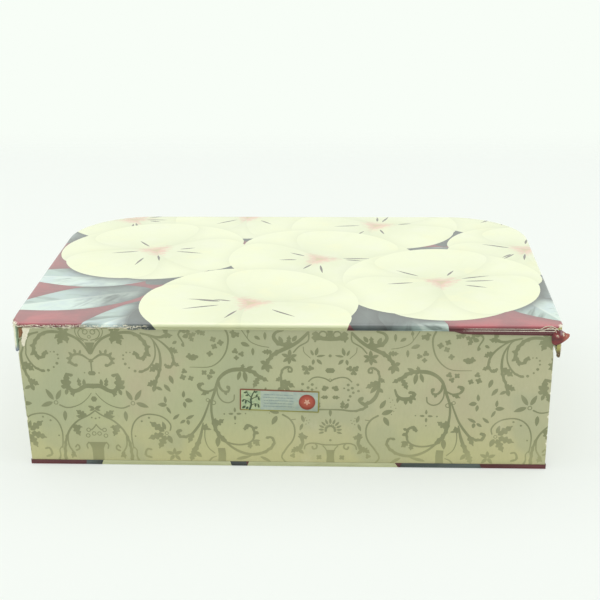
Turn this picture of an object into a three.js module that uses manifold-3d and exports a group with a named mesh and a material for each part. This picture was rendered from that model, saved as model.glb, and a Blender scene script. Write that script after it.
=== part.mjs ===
// A storage box in the shape of a small suitcase, made of greyboard covered with paper.
// Millimetres, +Z up. The origin is under the middle of the base, the fold that the lid turns on
// runs along X at the back (-Y), and the handle and latch are on the front (+Y).

import * as THREE from 'three';
import { mergeVertices } from 'three/addons/utils/BufferGeometryUtils.js';
import Module from 'manifold-3d';

const wasm = await Module();
wasm.setup();

// Sheet materials
const boardThickness = 2;
const paperThickness = 0.3;
const glueLine = 0.1;

// The closed box
const bodyLength = 320;
const bodyDepth = 219;
const bodyCornerRadius = 50;
const closedHeight = 94;
const rimDrop = 18.5;
const rimClearance = 1.4;
const lidRestGap = 0.3;
const lidSideways = 0.65;
const foldGap = 0.3;
const turnIn = 6;
const bottomTurnUp = 3;
const sheetEndGap = 0.3;

// How far the lid, the hasp and the handle turn, in degrees
const lidOpens = 180;
const haspOpens = 170;
const handleSwings = 150;

// The inner hinge paper
const hingePaperReach = 14;
const hingePaperInset = 6;
const outerHingeReach = 2.4;

// The label on the back wall
const labelWidth = 48;
const labelHeight = 14;
const labelCentreX = -2.8;
const labelCentreZ = 44.4;
const labelTilt = THREE.MathUtils.degToRad(1.7);

// Rivets
const rivetHeadRadius = 2.3;
const rivetHeadHeight = 1;
const rivetClinchRadius = 2;
const rivetClinchHeight = 0.5;
const rivetShankRadius = 1.1;
const rivetHoleClearance = 0.25;
const seatGap = 0.1;

// The latch
const plateThickness = 0.8;
const latchPinRadius = 0.8;
const knuckleWall = 0.8;
const latchPinClearance = 0.2;
const latchPinEnd = 0.6;
const hingePlateWidth = 26;
const hingePlateHeight = 11;
const hingeRivetSpacing = 16;
const knuckleWidth = 4.2;
const knuckleGap = 0.3;
const pinAboveRimEdge = 2;
const haspWidth = 16;
const haspLength = 22;
const haspLipRadius = 1.3;
const catchWidth = 8;
const catchHeight = 4;
const catchDrop = 13;
const catchProud = 1.6;
const catchBevel = 1.2;
const slotClearanceAcross = 1.2;
const slotClearanceUp = 0.7;
const catchPlateWidth = 27;
const catchPlateHeight = 15;
const catchRivetSpacing = 20;

// The handle
const bracketSpacing = 76;
const bracketWidth = 12;
const bracketHeight = 22;
const bracketRivetSpacing = 15;
const pivotBelowRim = 23.5;
const pivotStandOff = 4.3;
const saddleWall = 0.9;
const wireRadius = 1.6;
const wireClearance = 0.3;
const wireEndReach = 2;
const shoulderGap = 1;
const bendRadius = 4;
const legLength = 26;
const gripLength = 62;
const gripThickness = 7.4;
const gripHeight = 12;
const gripEndShare = 0.82;
const ferruleLength = 3;
const ferruleWall = 1;
const ferruleGap = 0.2;

// Fineness of round shapes
const cornerSegments = 6;
const rivetSegments = 12;
const pinSegments = 12;
const wireSegments = 4;
const wireSteps = 64;
const gripSegments = 16;
const gripRings = 6;
const domeSteps = 3;

// How far a cut runs past what it cuts
const overrun = 1;
const mergeDistance = 0.0001;

// Sizes that follow from those above
const skin = paperThickness + glueLine;
const wallThickness = skin + boardThickness + skin;
const lidOverhang = rimClearance + wallThickness;
const lidBoardTop = closedHeight - skin;
const lidBoardBottom = lidBoardTop - boardThickness;
const lidLinerBottom = lidBoardBottom - skin;
const wallTop = lidLinerBottom - lidRestGap;
const wallBoardTop = wallTop - skin;
const floorBoardTop = skin + boardThickness;
const floorLinerTop = floorBoardTop + skin;
const rimBottom = closedHeight - rimDrop;
const pivotHeight = rimBottom - pivotBelowRim;
const bodyBack = -bodyDepth / 2;
const bodyFront = bodyDepth / 2;
const lidFront = bodyFront + lidOverhang;
const rivetHoleRadius = rivetShankRadius + rivetHoleClearance;

// The lid turns on the line where its paper folds onto the back wall
const foldY = bodyBack - skin - foldGap / 2;
const foldZ = lidLinerBottom - lidRestGap / 2;

// Finishes
const finishes = {
  greyboard: { color: 0x9a8a70, roughness: 0.95, metalness: 0 },
  scrollPaper: { color: 0xb0b28c, roughness: 0.5, metalness: 0 },
  flowerPaper: { color: 0xe6e6c6, roughness: 0.25, metalness: 0 },
  bottomPaper: { color: 0x8c2432, roughness: 0.3, metalness: 0 },
  linerPaper: { color: 0xd9d2ba, roughness: 0.8, metalness: 0 },
  hingePaper: { color: 0xcbc4aa, roughness: 0.8, metalness: 0 },
  label: { color: 0xd6dcc4, roughness: 0.4, metalness: 0 },
  brass: { color: 0xb08d4a, roughness: 0.35, metalness: 1 },
  leatherette: { color: 0x4a2d1c, roughness: 0.6, metalness: 0 },
};

// A closed three.js geometry as a solid that can be joined and cut
function solidOf(geometry) {
  const bare = geometry.index ? geometry.toNonIndexed() : geometry.clone();
  bare.deleteAttribute('normal');
  bare.deleteAttribute('uv');
  const merged = mergeVertices(bare, mergeDistance);
  return new wasm.Manifold(new wasm.Mesh({
    numProp: 3,
    vertProperties: Float32Array.from(merged.attributes.position.array),
    triVerts: Uint32Array.from(merged.index.array),
  }));
}

// A solid as a named mesh with one finish
function piece(name, solid, finish) {
  const cut = solid.getMesh();
  const geometry = new THREE.BufferGeometry();
  geometry.setAttribute('position', new THREE.BufferAttribute(cut.vertProperties, 3));
  geometry.setIndex(new THREE.BufferAttribute(cut.triVerts, 1));
  geometry.computeVertexNormals();
  const mesh = new THREE.Mesh(geometry, new THREE.MeshStandardMaterial(finishes[finish]));
  mesh.name = name;
  return mesh;
}

const joined = (...solids) => solids.reduce((whole, solid) => whole.add(solid));
const cutBy = (solid, cutters) => cutters.reduce((rest, cutter) => rest.subtract(cutter), solid);

// A plan outline extruded from one height to another
function slab(shape, bottom, top) {
  const geometry = new THREE.ExtrudeGeometry(shape, {
    depth: top - bottom,
    bevelEnabled: false,
    curveSegments: cornerSegments,
  });
  geometry.translate(0, 0, bottom);
  return solidOf(geometry);
}

// A box between two corners
function block(low, high) {
  const size = new THREE.Vector3().subVectors(high, low);
  const geometry = new THREE.BoxGeometry(size.x, size.y, size.z);
  geometry.translate((low.x + high.x) / 2, (low.y + high.y) / 2, (low.z + high.z) / 2);
  return solidOf(geometry);
}

// A round bar along X
function barAlongX(centreX, y, z, length, radius, segments) {
  const geometry = new THREE.CylinderGeometry(radius, radius, length, segments);
  geometry.rotateZ(Math.PI / 2);
  geometry.translate(centreX, y, z);
  return solidOf(geometry);
}

// A round bar along Y, from one depth to another
function barAlongY(x, z, fromY, toY, radius, segments) {
  const geometry = new THREE.CylinderGeometry(radius, radius, toY - fromY, segments);
  geometry.translate(x, (fromY + toY) / 2, z);
  return solidOf(geometry);
}

// Plan of the body or of the lid, set in by a distance from its outer face
function bodyPlan(inset) {
  return {
    half: bodyLength / 2 - inset,
    front: bodyFront - inset,
    back: bodyBack + inset,
    radius: bodyCornerRadius - inset,
  };
}

function lidPlan(inset) {
  return {
    half: bodyLength / 2 + lidOverhang - inset,
    front: lidFront - inset,
    back: bodyBack,
    radius: bodyCornerRadius + lidOverhang - inset,
  };
}

// The whole plan: square corners at the back, round ones at the front
function fullOutline({ half, front, back, radius }) {
  const shape = new THREE.Shape();
  shape.moveTo(-half, back);
  shape.lineTo(half, back);
  shape.absarc(half - radius, front - radius, radius, 0, Math.PI / 2);
  shape.absarc(radius - half, front - radius, radius, Math.PI / 2, Math.PI);
  shape.closePath();
  return shape;
}

// A ring between two plans
function ringOutline(outer, inner) {
  const shape = fullOutline(outer);
  shape.holes.push(fullOutline(inner));
  return shape;
}

// A strip that runs up one side, round the front and down the other side, open at the back
function stripOutline(outer, inner, back) {
  const shape = new THREE.Shape();
  shape.moveTo(outer.half, back);
  const outerCentreX = outer.half - outer.radius;
  const outerCentreY = outer.front - outer.radius;
  const innerCentreX = inner.half - inner.radius;
  const innerCentreY = inner.front - inner.radius;
  shape.absarc(outerCentreX, outerCentreY, outer.radius, 0, Math.PI / 2);
  shape.absarc(-outerCentreX, outerCentreY, outer.radius, Math.PI / 2, Math.PI);
  shape.lineTo(-outer.half, back);
  shape.lineTo(-inner.half, back);
  shape.absarc(-innerCentreX, innerCentreY, inner.radius, Math.PI, Math.PI / 2, true);
  shape.absarc(innerCentreX, innerCentreY, inner.radius, Math.PI / 2, 0, true);
  shape.lineTo(inner.half, back);
  shape.closePath();
  return shape;
}

// Places of the rivets on the front, as x and z, with the depth they pass through
const knuckleRadius = latchPinRadius + latchPinClearance + knuckleWall;
const latchPinY = lidFront + seatGap + knuckleRadius;
const latchPinZ = rimBottom + pinAboveRimEdge;
const hingePlateBottom = latchPinZ + knuckleRadius;
const hingeRivetZ = hingePlateBottom + hingePlateHeight / 2;
const catchZ = latchPinZ - catchDrop;
const hingeRivetPlaces = [-1, 1].map((side) => ({ side, x: side * hingeRivetSpacing / 2, z: hingeRivetZ }));
const catchRivetPlaces = [-1, 1].map((side) => ({ side, x: side * catchRivetSpacing / 2, z: catchZ }));
const bracketRivetPlaces = [-1, 1].flatMap((side) => [-1, 1].map((level) => ({
  side,
  level,
  x: side * bracketSpacing / 2,
  z: pivotHeight + level * bracketRivetSpacing / 2,
})));
const baseRivetPlaces = [...catchRivetPlaces, ...bracketRivetPlaces];

// Holes for rivets through everything between a wall's inner and outer faces
function rivetHoles(places, outerFace) {
  const inside = outerFace - wallThickness - overrun;
  const outside = outerFace + plateThickness + seatGap + overrun;
  return places.map(({ x, z }) => barAlongY(x, z, inside, outside, rivetHoleRadius, rivetSegments));
}

const baseHoles = rivetHoles(baseRivetPlaces, bodyFront);
const lidHoles = rivetHoles(hingeRivetPlaces, lidFront);

// A rivet through wall and plate: domed head outside, flat clinch inside
function rivet(name, { x, z }, outerFace) {
  const clinchFace = outerFace - wallThickness - seatGap;
  const headFace = outerFace + seatGap + plateThickness + seatGap;
  const profile = [
    new THREE.Vector2(0, clinchFace - rivetClinchHeight),
    new THREE.Vector2(rivetClinchRadius, clinchFace - rivetClinchHeight),
    new THREE.Vector2(rivetClinchRadius, clinchFace),
    new THREE.Vector2(rivetShankRadius, clinchFace),
    new THREE.Vector2(rivetShankRadius, headFace),
  ];
  for (let step = 0; step < domeSteps; step += 1) {
    const angle = (step / domeSteps) * Math.PI / 2;
    profile.push(new THREE.Vector2(
      rivetHeadRadius * Math.cos(angle),
      headFace + rivetHeadHeight * Math.sin(angle),
    ));
  }
  profile.push(new THREE.Vector2(0, headFace + rivetHeadHeight));
  const geometry = new THREE.LatheGeometry(profile, rivetSegments);
  geometry.translate(x, 0, z);
  return piece(name, solidOf(geometry), 'brass');
}

// The base

function baseFloorBoard() {
  const plan = bodyPlan(skin + boardThickness + glueLine);
  return piece('base_floor_board', slab(fullOutline(plan), skin, floorBoardTop), 'greyboard');
}

function baseWallBoard() {
  const outer = bodyPlan(skin);
  const inner = bodyPlan(skin + boardThickness);
  const strip = slab(stripOutline(outer, inner, outer.back), skin, wallBoardTop);
  return piece('base_wall_board', cutBy(strip, baseHoles), 'greyboard');
}

function baseBackBoard() {
  const outer = bodyPlan(skin);
  const half = outer.half - boardThickness - glueLine;
  const low = new THREE.Vector3(-half, outer.back, skin);
  const high = new THREE.Vector3(half, outer.back + boardThickness, wallBoardTop);
  return piece('base_back_board', block(low, high), 'greyboard');
}

function baseWrapPaper() {
  const outer = bodyPlan(0);
  const underOuter = bodyPlan(paperThickness);
  const overInner = bodyPlan(skin + boardThickness + glueLine);
  const inner = bodyPlan(wallThickness);
  const outside = slab(ringOutline(outer, underOuter), skin, wallTop);
  const overTop = slab(ringOutline(outer, inner), wallTop - paperThickness, wallTop);
  const turned = slab(ringOutline(overInner, inner), wallTop - turnIn, wallTop);
  return piece('base_wrap_paper', cutBy(joined(outside, overTop, turned), baseHoles), 'scrollPaper');
}

function baseBottomPaper() {
  const outer = bodyPlan(-skin);
  const inner = bodyPlan(-glueLine);
  const sheet = slab(fullOutline(outer), 0, paperThickness);
  const turnedUp = slab(ringOutline(outer, inner), 0, bottomTurnUp);
  return piece('base_bottom_paper', joined(sheet, turnedUp), 'bottomPaper');
}

function baseFloorLiner() {
  const plan = bodyPlan(wallThickness + glueLine);
  const sheet = slab(fullOutline(plan), floorBoardTop + glueLine, floorLinerTop);
  return piece('base_floor_liner', sheet, 'linerPaper');
}

function baseWallLiner() {
  const outer = bodyPlan(skin + boardThickness + glueLine);
  const inner = bodyPlan(wallThickness);
  const top = wallTop - turnIn - sheetEndGap;
  const ring = slab(ringOutline(outer, inner), floorBoardTop + glueLine, top);
  return piece('base_wall_liner', cutBy(ring, baseHoles), 'linerPaper');
}

function backLabel() {
  const geometry = new THREE.BoxGeometry(labelWidth, paperThickness, labelHeight);
  geometry.rotateY(labelTilt);
  geometry.translate(labelCentreX, bodyBack - glueLine - paperThickness / 2, labelCentreZ);
  return piece('back_label', solidOf(geometry), 'label');
}

// The lid's paper goes on below the fold, glued to the back wall
function hingeStripOuter() {
  const half = bodyLength / 2;
  const low = new THREE.Vector3(-half, bodyBack - skin, wallTop - outerHingeReach);
  const high = new THREE.Vector3(half, bodyBack - glueLine, wallTop);
  return piece('hinge_strip_outer', block(low, high), 'flowerPaper');
}

// The inner hinge paper's half on the back wall, over the turned-in wrap and the liner
function hingeStripBase() {
  const half = bodyLength / 2 - wallThickness - hingePaperInset;
  const face = bodyBack + wallThickness;
  const low = new THREE.Vector3(-half, face + glueLine, wallTop - hingePaperReach);
  const high = new THREE.Vector3(half, face + skin, wallTop);
  return piece('hinge_strip_base', block(low, high), 'hingePaper');
}

// The lid

function lidBoard() {
  const plan = lidPlan(skin);
  return piece('lid_board', slab(fullOutline(plan), lidBoardBottom, lidBoardTop), 'greyboard');
}

function lidRimBoard() {
  const outer = lidPlan(skin);
  const inner = lidPlan(skin + boardThickness);
  const strip = slab(stripOutline(outer, inner, outer.back), rimBottom + skin, lidBoardBottom - glueLine);
  return piece('lid_rim_board', cutBy(strip, lidHoles), 'greyboard');
}

function lidCoverPaper() {
  const outer = lidPlan(0);
  const underOuter = lidPlan(paperThickness);
  const overInner = lidPlan(skin + boardThickness + glueLine);
  const inner = lidPlan(wallThickness);
  const rearPlan = { ...outer, back: bodyBack - skin };
  const top = slab(fullOutline(rearPlan), closedHeight - paperThickness, closedHeight);
  const outside = slab(stripOutline(outer, underOuter, outer.back), rimBottom, closedHeight);
  const underRim = slab(stripOutline(outer, inner, outer.back), rimBottom, rimBottom + paperThickness);
  const turned = slab(stripOutline(overInner, inner, outer.back), rimBottom, rimBottom + turnIn);
  const rearEdge = block(
    new THREE.Vector3(-outer.half, rearPlan.back, lidLinerBottom),
    new THREE.Vector3(outer.half, rearPlan.back + paperThickness, closedHeight),
  );
  const whole = joined(top, outside, underRim, turned, rearEdge);
  return piece('lid_cover_paper', cutBy(whole, lidHoles), 'flowerPaper');
}

function lidLiner() {
  const edge = lidPlan(wallThickness);
  const underRim = lidPlan(skin + boardThickness + glueLine);
  const top = lidBoardBottom - glueLine;
  const sideBottom = rimBottom + turnIn + sheetEndGap;
  const flat = slab(fullOutline(underRim), lidLinerBottom, top);
  const side = slab(stripOutline(underRim, edge, underRim.back), sideBottom, top);
  return piece('lid_liner', cutBy(joined(flat, side), lidHoles), 'linerPaper');
}

// The inner hinge paper's half on the lid, clear of the back wall's top edge
function hingeStripLid() {
  const half = bodyLength / 2 - wallThickness - hingePaperInset;
  const start = bodyBack + wallThickness + skin + foldGap;
  const low = new THREE.Vector3(-half, start, lidLinerBottom - skin);
  const high = new THREE.Vector3(half, start + hingePaperReach, lidLinerBottom - glueLine);
  return piece('hinge_strip_lid', block(low, high), 'hingePaper');
}

// The latch

const latchHoleRadius = latchPinRadius + latchPinClearance;
const middleKnuckleWidth = hingePlateWidth - 2 * (knuckleWidth + knuckleGap);

function latchBore(length) {
  return barAlongX(0, latchPinY, latchPinZ, length + 2 * overrun, latchHoleRadius, pinSegments);
}

function latchHingePlate() {
  const back = lidFront + seatGap;
  const half = hingePlateWidth / 2;
  const plate = block(
    new THREE.Vector3(-half, back, hingePlateBottom),
    new THREE.Vector3(half, back + plateThickness, hingePlateBottom + hingePlateHeight),
  );
  const knuckles = [-1, 1].flatMap((side) => {
    const centreX = side * (half - knuckleWidth / 2);
    const web = block(
      new THREE.Vector3(centreX - knuckleWidth / 2, back, latchPinZ),
      new THREE.Vector3(centreX + knuckleWidth / 2, back + plateThickness, hingePlateBottom + overrun),
    );
    return [barAlongX(centreX, latchPinY, latchPinZ, knuckleWidth, knuckleRadius, pinSegments), web];
  });
  const bore = latchBore(hingePlateWidth);
  return piece('latch_hinge_plate', cutBy(joined(plate, ...knuckles), [bore, ...lidHoles]), 'brass');
}

function latchPin() {
  const length = hingePlateWidth + 2 * latchPinEnd;
  const pin = barAlongX(0, latchPinY, latchPinZ, length, latchPinRadius, pinSegments);
  return piece('latch_pin', pin, 'brass');
}

// Hasp: a knuckle on the pin, a strap with a slot for the catch, and a rolled lip to lift it by
function latchHasp() {
  const strapBack = latchPinY - knuckleRadius;
  const bottom = latchPinZ - haspLength;
  const half = haspWidth / 2;
  const knuckle = barAlongX(0, latchPinY, latchPinZ, middleKnuckleWidth, knuckleRadius, pinSegments);
  const strap = block(
    new THREE.Vector3(-half, strapBack, bottom),
    new THREE.Vector3(half, strapBack + plateThickness, latchPinZ),
  );
  const lip = barAlongX(0, strapBack + haspLipRadius, bottom, haspWidth, haspLipRadius, pinSegments);
  const slotHalfWidth = catchWidth / 2 + slotClearanceAcross;
  const slotHalfHeight = catchHeight / 2 + slotClearanceUp;
  const slot = block(
    new THREE.Vector3(-slotHalfWidth, strapBack - overrun, catchZ - slotHalfHeight),
    new THREE.Vector3(slotHalfWidth, strapBack + plateThickness + overrun, catchZ + slotHalfHeight),
  );
  const bore = latchBore(middleKnuckleWidth);
  return piece('latch_hasp', cutBy(joined(strap, knuckle, lip), [slot, bore]), 'brass');
}

// Catch plate: a plate with a raised catch that stands out through the hasp's slot
function latchCatchPlate() {
  const back = bodyFront + seatGap;
  const half = catchPlateWidth / 2;
  const plate = block(
    new THREE.Vector3(-half, back, catchZ - catchPlateHeight / 2),
    new THREE.Vector3(half, back + plateThickness, catchZ + catchPlateHeight / 2),
  );
  const tip = latchPinY - knuckleRadius + plateThickness + catchProud;
  const side = new THREE.Shape();
  side.moveTo(back, catchZ - catchHeight / 2);
  side.lineTo(tip, catchZ - catchHeight / 2);
  side.lineTo(tip, catchZ + catchHeight / 2 - catchBevel);
  side.lineTo(tip - catchBevel, catchZ + catchHeight / 2);
  side.lineTo(back, catchZ + catchHeight / 2);
  side.closePath();
  const geometry = new THREE.ExtrudeGeometry(side, { depth: catchWidth, bevelEnabled: false });
  geometry.translate(0, 0, -catchWidth / 2);
  geometry.applyMatrix4(new THREE.Matrix4().makeBasis(
    new THREE.Vector3(0, 1, 0),
    new THREE.Vector3(0, 0, 1),
    new THREE.Vector3(1, 0, 0),
  ));
  return piece('latch_catch_plate', cutBy(joined(plate, solidOf(geometry)), baseHoles), 'brass');
}

// The handle

const pivotY = bodyFront + pivotStandOff;
const saddleRadius = wireRadius + wireClearance + saddleWall;
const legX = bracketSpacing / 2 + bracketWidth / 2 + shoulderGap + wireRadius;
const gripZ = pivotHeight - legLength;

// Bore for the handle's wire through a length of something
function wireBore(centreX, z, length) {
  return barAlongX(centreX, pivotY, z, length + 2 * overrun, wireRadius + wireClearance, gripSegments);
}

function handleBracket(side, sideName) {
  const back = bodyFront + seatGap;
  const centreX = side * bracketSpacing / 2;
  const left = centreX - bracketWidth / 2;
  const right = centreX + bracketWidth / 2;
  const plate = block(
    new THREE.Vector3(left, back, pivotHeight - bracketHeight / 2),
    new THREE.Vector3(right, back + plateThickness, pivotHeight + bracketHeight / 2),
  );
  const web = block(
    new THREE.Vector3(left, back, pivotHeight - saddleRadius),
    new THREE.Vector3(right, pivotY, pivotHeight + saddleRadius),
  );
  const saddle = barAlongX(centreX, pivotY, pivotHeight, bracketWidth, saddleRadius, gripSegments);
  const bore = wireBore(centreX, pivotHeight, bracketWidth);
  const solid = cutBy(joined(plate, web, saddle), [bore, ...baseHoles]);
  return piece(`handle_bracket_${sideName}`, solid, 'brass');
}

// One bent wire: in through a bracket, down a leg, along under the grip, and the same back up
function handleBail() {
  const innerEnd = bracketSpacing / 2 - bracketWidth / 2 - wireEndReach;
  const path = new THREE.CurvePath();
  const at = (x, z) => new THREE.Vector3(x, pivotY, z);
  const bendStart = legX - bendRadius;
  path.add(new THREE.LineCurve3(at(-innerEnd, pivotHeight), at(-bendStart, pivotHeight)));
  path.add(new THREE.QuadraticBezierCurve3(
    at(-bendStart, pivotHeight), at(-legX, pivotHeight), at(-legX, pivotHeight - bendRadius),
  ));
  path.add(new THREE.LineCurve3(at(-legX, pivotHeight - bendRadius), at(-legX, gripZ + bendRadius)));
  path.add(new THREE.QuadraticBezierCurve3(
    at(-legX, gripZ + bendRadius), at(-legX, gripZ), at(-bendStart, gripZ),
  ));
  path.add(new THREE.LineCurve3(at(-bendStart, gripZ), at(bendStart, gripZ)));
  path.add(new THREE.QuadraticBezierCurve3(
    at(bendStart, gripZ), at(legX, gripZ), at(legX, gripZ + bendRadius),
  ));
  path.add(new THREE.LineCurve3(at(legX, gripZ + bendRadius), at(legX, pivotHeight - bendRadius)));
  path.add(new THREE.QuadraticBezierCurve3(
    at(legX, pivotHeight - bendRadius), at(legX, pivotHeight), at(bendStart, pivotHeight),
  ));
  path.add(new THREE.LineCurve3(at(bendStart, pivotHeight), at(innerEnd, pivotHeight)));
  const section = new THREE.Shape();
  section.absarc(0, 0, wireRadius, 0, 2 * Math.PI);
  const geometry = new THREE.ExtrudeGeometry(section, {
    steps: wireSteps,
    curveSegments: wireSegments,
    extrudePath: path,
  });
  return piece('handle_bail', solidOf(geometry), 'brass');
}

// Grip: swells towards its middle, flat across, with a bore for the wire
function handleGrip() {
  const profile = [new THREE.Vector2(0, -gripLength / 2)];
  for (let ring = 0; ring <= gripRings; ring += 1) {
    const along = ring / gripRings;
    const swell = gripEndShare + (1 - gripEndShare) * Math.sin(Math.PI * along);
    profile.push(new THREE.Vector2(swell, (along - 1 / 2) * gripLength));
  }
  profile.push(new THREE.Vector2(0, gripLength / 2));
  const geometry = new THREE.LatheGeometry(profile, gripSegments);
  geometry.rotateZ(Math.PI / 2);
  geometry.scale(1, gripThickness / 2, gripHeight / 2);
  geometry.translate(0, pivotY, gripZ);
  const bore = wireBore(0, gripZ, gripLength);
  return piece('handle_grip', cutBy(solidOf(geometry), [bore]), 'leatherette');
}

function handleFerrule(side, sideName) {
  const centreX = side * (gripLength / 2 + ferruleGap + ferruleLength / 2);
  const radius = wireRadius + wireClearance + ferruleWall;
  const tube = barAlongX(centreX, pivotY, gripZ, ferruleLength, radius, gripSegments);
  const bore = wireBore(centreX, gripZ, ferruleLength);
  return piece(`handle_ferrule_${sideName}`, cutBy(tube, [bore]), 'brass');
}

// Put together: what stays with the base, what swings with the handle, and what opens with the lid

const sideNames = new Map([[-1, 'left'], [1, 'right']]);
const levelNames = new Map([[-1, 'lower'], [1, 'upper']]);

const base = new THREE.Group();
base.add(
  baseFloorBoard(),
  baseWallBoard(),
  baseBackBoard(),
  baseWrapPaper(),
  baseBottomPaper(),
  baseFloorLiner(),
  baseWallLiner(),
  backLabel(),
  hingeStripOuter(),
  hingeStripBase(),
  latchCatchPlate(),
);
for (const place of catchRivetPlaces) {
  base.add(rivet(`latch_catch_rivet_${sideNames.get(place.side)}`, place, bodyFront));
}
for (const place of bracketRivetPlaces) {
  const name = `handle_rivet_${sideNames.get(place.side)}_${levelNames.get(place.level)}`;
  base.add(rivet(name, place, bodyFront));
}

const handle = new THREE.Group();
handle.add(handleBail(), handleGrip());
for (const [side, sideName] of sideNames) {
  base.add(handleBracket(side, sideName));
  handle.add(handleFerrule(side, sideName));
}

const hasp = new THREE.Group();
hasp.add(latchHasp());

const lid = new THREE.Group();
lid.position.x = lidSideways;
lid.add(
  lidBoard(),
  lidRimBoard(),
  lidCoverPaper(),
  lidLiner(),
  hingeStripLid(),
  latchHingePlate(),
  latchPin(),
);
for (const place of hingeRivetPlaces) {
  lid.add(rivet(`latch_hinge_rivet_${sideNames.get(place.side)}`, place, lidFront));
}
lid.add(hasp);

// Each of these groups turns about a line along X, from the closed box outwards and up
lid.userData.turn = { y: foldY, z: foldZ, degrees: lidOpens };
hasp.userData.turn = { y: latchPinY, z: latchPinZ, degrees: haspOpens };
handle.userData.turn = { y: pivotY, z: pivotHeight, degrees: handleSwings };

const box = new THREE.Group();
box.add(base, handle, lid);

export default box;
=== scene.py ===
import random
from math import atan2, ceil, cos, floor, hypot, pi, radians, sin, sqrt

import bmesh
import bpy
from mathutils import Matrix, Vector
from mathutils.geometry import delaunay_2d_cdt
from mathutils.kdtree import KDTree


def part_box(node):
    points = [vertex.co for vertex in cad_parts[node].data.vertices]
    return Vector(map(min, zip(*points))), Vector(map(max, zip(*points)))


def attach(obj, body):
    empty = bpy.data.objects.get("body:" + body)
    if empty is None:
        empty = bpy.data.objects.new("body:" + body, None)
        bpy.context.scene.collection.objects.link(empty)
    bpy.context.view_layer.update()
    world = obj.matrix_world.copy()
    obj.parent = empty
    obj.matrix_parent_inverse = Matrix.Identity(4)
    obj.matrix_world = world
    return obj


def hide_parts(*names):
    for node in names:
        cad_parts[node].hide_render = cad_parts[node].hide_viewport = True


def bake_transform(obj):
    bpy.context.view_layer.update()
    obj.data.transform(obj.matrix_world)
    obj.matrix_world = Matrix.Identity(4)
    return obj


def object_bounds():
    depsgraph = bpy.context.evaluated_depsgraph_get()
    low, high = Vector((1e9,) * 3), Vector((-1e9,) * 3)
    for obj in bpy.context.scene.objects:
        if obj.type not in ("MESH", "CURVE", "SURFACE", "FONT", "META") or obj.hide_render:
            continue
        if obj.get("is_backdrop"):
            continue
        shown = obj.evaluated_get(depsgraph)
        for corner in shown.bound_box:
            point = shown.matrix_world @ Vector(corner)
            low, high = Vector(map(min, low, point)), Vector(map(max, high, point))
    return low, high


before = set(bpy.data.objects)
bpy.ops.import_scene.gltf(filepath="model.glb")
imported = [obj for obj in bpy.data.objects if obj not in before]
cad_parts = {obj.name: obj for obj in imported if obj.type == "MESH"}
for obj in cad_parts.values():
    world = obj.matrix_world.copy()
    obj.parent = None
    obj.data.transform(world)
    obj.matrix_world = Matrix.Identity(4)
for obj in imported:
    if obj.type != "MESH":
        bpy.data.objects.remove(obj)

bl_info = {
    "name": "Suitcase Storage Box",
    "version": (1, 0, 0),
    "blender": (4, 5, 0),
    "location": "View3D > Sidebar > Storage Box",
    "description": "Dresses the frame of a paper-covered storage box with its papers, brass and leatherette",
    "category": "Object",
}

CAD_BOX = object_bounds()

# Lengths below are millimetres in the box's own frame: X along the fold, Y to the front, Z up
MM = 0.001


def span(node):
    """Lowest and highest corner of a CAD node, in millimetres."""
    low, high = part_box(node)
    return low / MM, high / MM


# Sizes taken from the frame
WRAP_LOW, WRAP_HIGH = span("base_wrap_paper")
COVER_LOW, COVER_HIGH = span("lid_cover_paper")
BOTTOM_LOW, BOTTOM_HIGH = span("base_bottom_paper")
STRIP_LOW = span("hinge_strip_outer")[0]
BODY_HALF = WRAP_HIGH.x
BODY_BACK = WRAP_LOW.y
BODY_FRONT = WRAP_HIGH.y
WALL_TOP = WRAP_HIGH.z
LID_SIDEWAYS = (COVER_LOW.x + COVER_HIGH.x) / 2
LID_HALF = (COVER_HIGH.x - COVER_LOW.x) / 2
LID_TOP = COVER_HIGH.z
RIM_BOTTOM = COVER_LOW.z
FOLD_Z = 91.05

LABEL_LOW, LABEL_HIGH = span("back_label")
INNER_LOW, INNER_HIGH = span("hinge_strip_base")
INNER_LID_LOW, INNER_LID_HIGH = span("hinge_strip_lid")
HINGE_PLATE_LOW, HINGE_PLATE_HIGH = span("latch_hinge_plate")
HASP_LOW = span("latch_hasp")[0]
CATCH_LOW, CATCH_HIGH = span("latch_catch_plate")
PIN_LOW, PIN_HIGH = span("latch_pin")
BAIL_LOW, BAIL_HIGH = span("handle_bail")
GRIP_LOW, GRIP_HIGH = span("handle_grip")

# Sheets and boards
PAPER = 0.3
LID_EDGE = 1.2
RIM_THICKNESS = 2.8
RIM_TURN_IN = 6
FOOT_EDGE = 0.5
FOOT_TURN_UP = 3
REAR_EDGE = 2.2
REAR_EDGE_CUTS = (0.1, 0.3, 0.5, 0.7, 1)
CREASE_DEPTH = 0.25
CREASE_HALF = 0.45
CREASE_LIP = 0.2
WALL = 2.8
WALL_ROUNDING = 0.7
WRAP_CORNER = 0.7
TURN_IN = 6
BODY_CORNER = 50
LID_CORNER = BODY_CORNER + LID_HALF - BODY_HALF

# The scrollwork repeats as mirror images about two kinds of line up the wall
FIRST_MIRROR = -116.2
HALF_REPEAT = 144.1
PRINT_DROP_SHARE = 0.027

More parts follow.
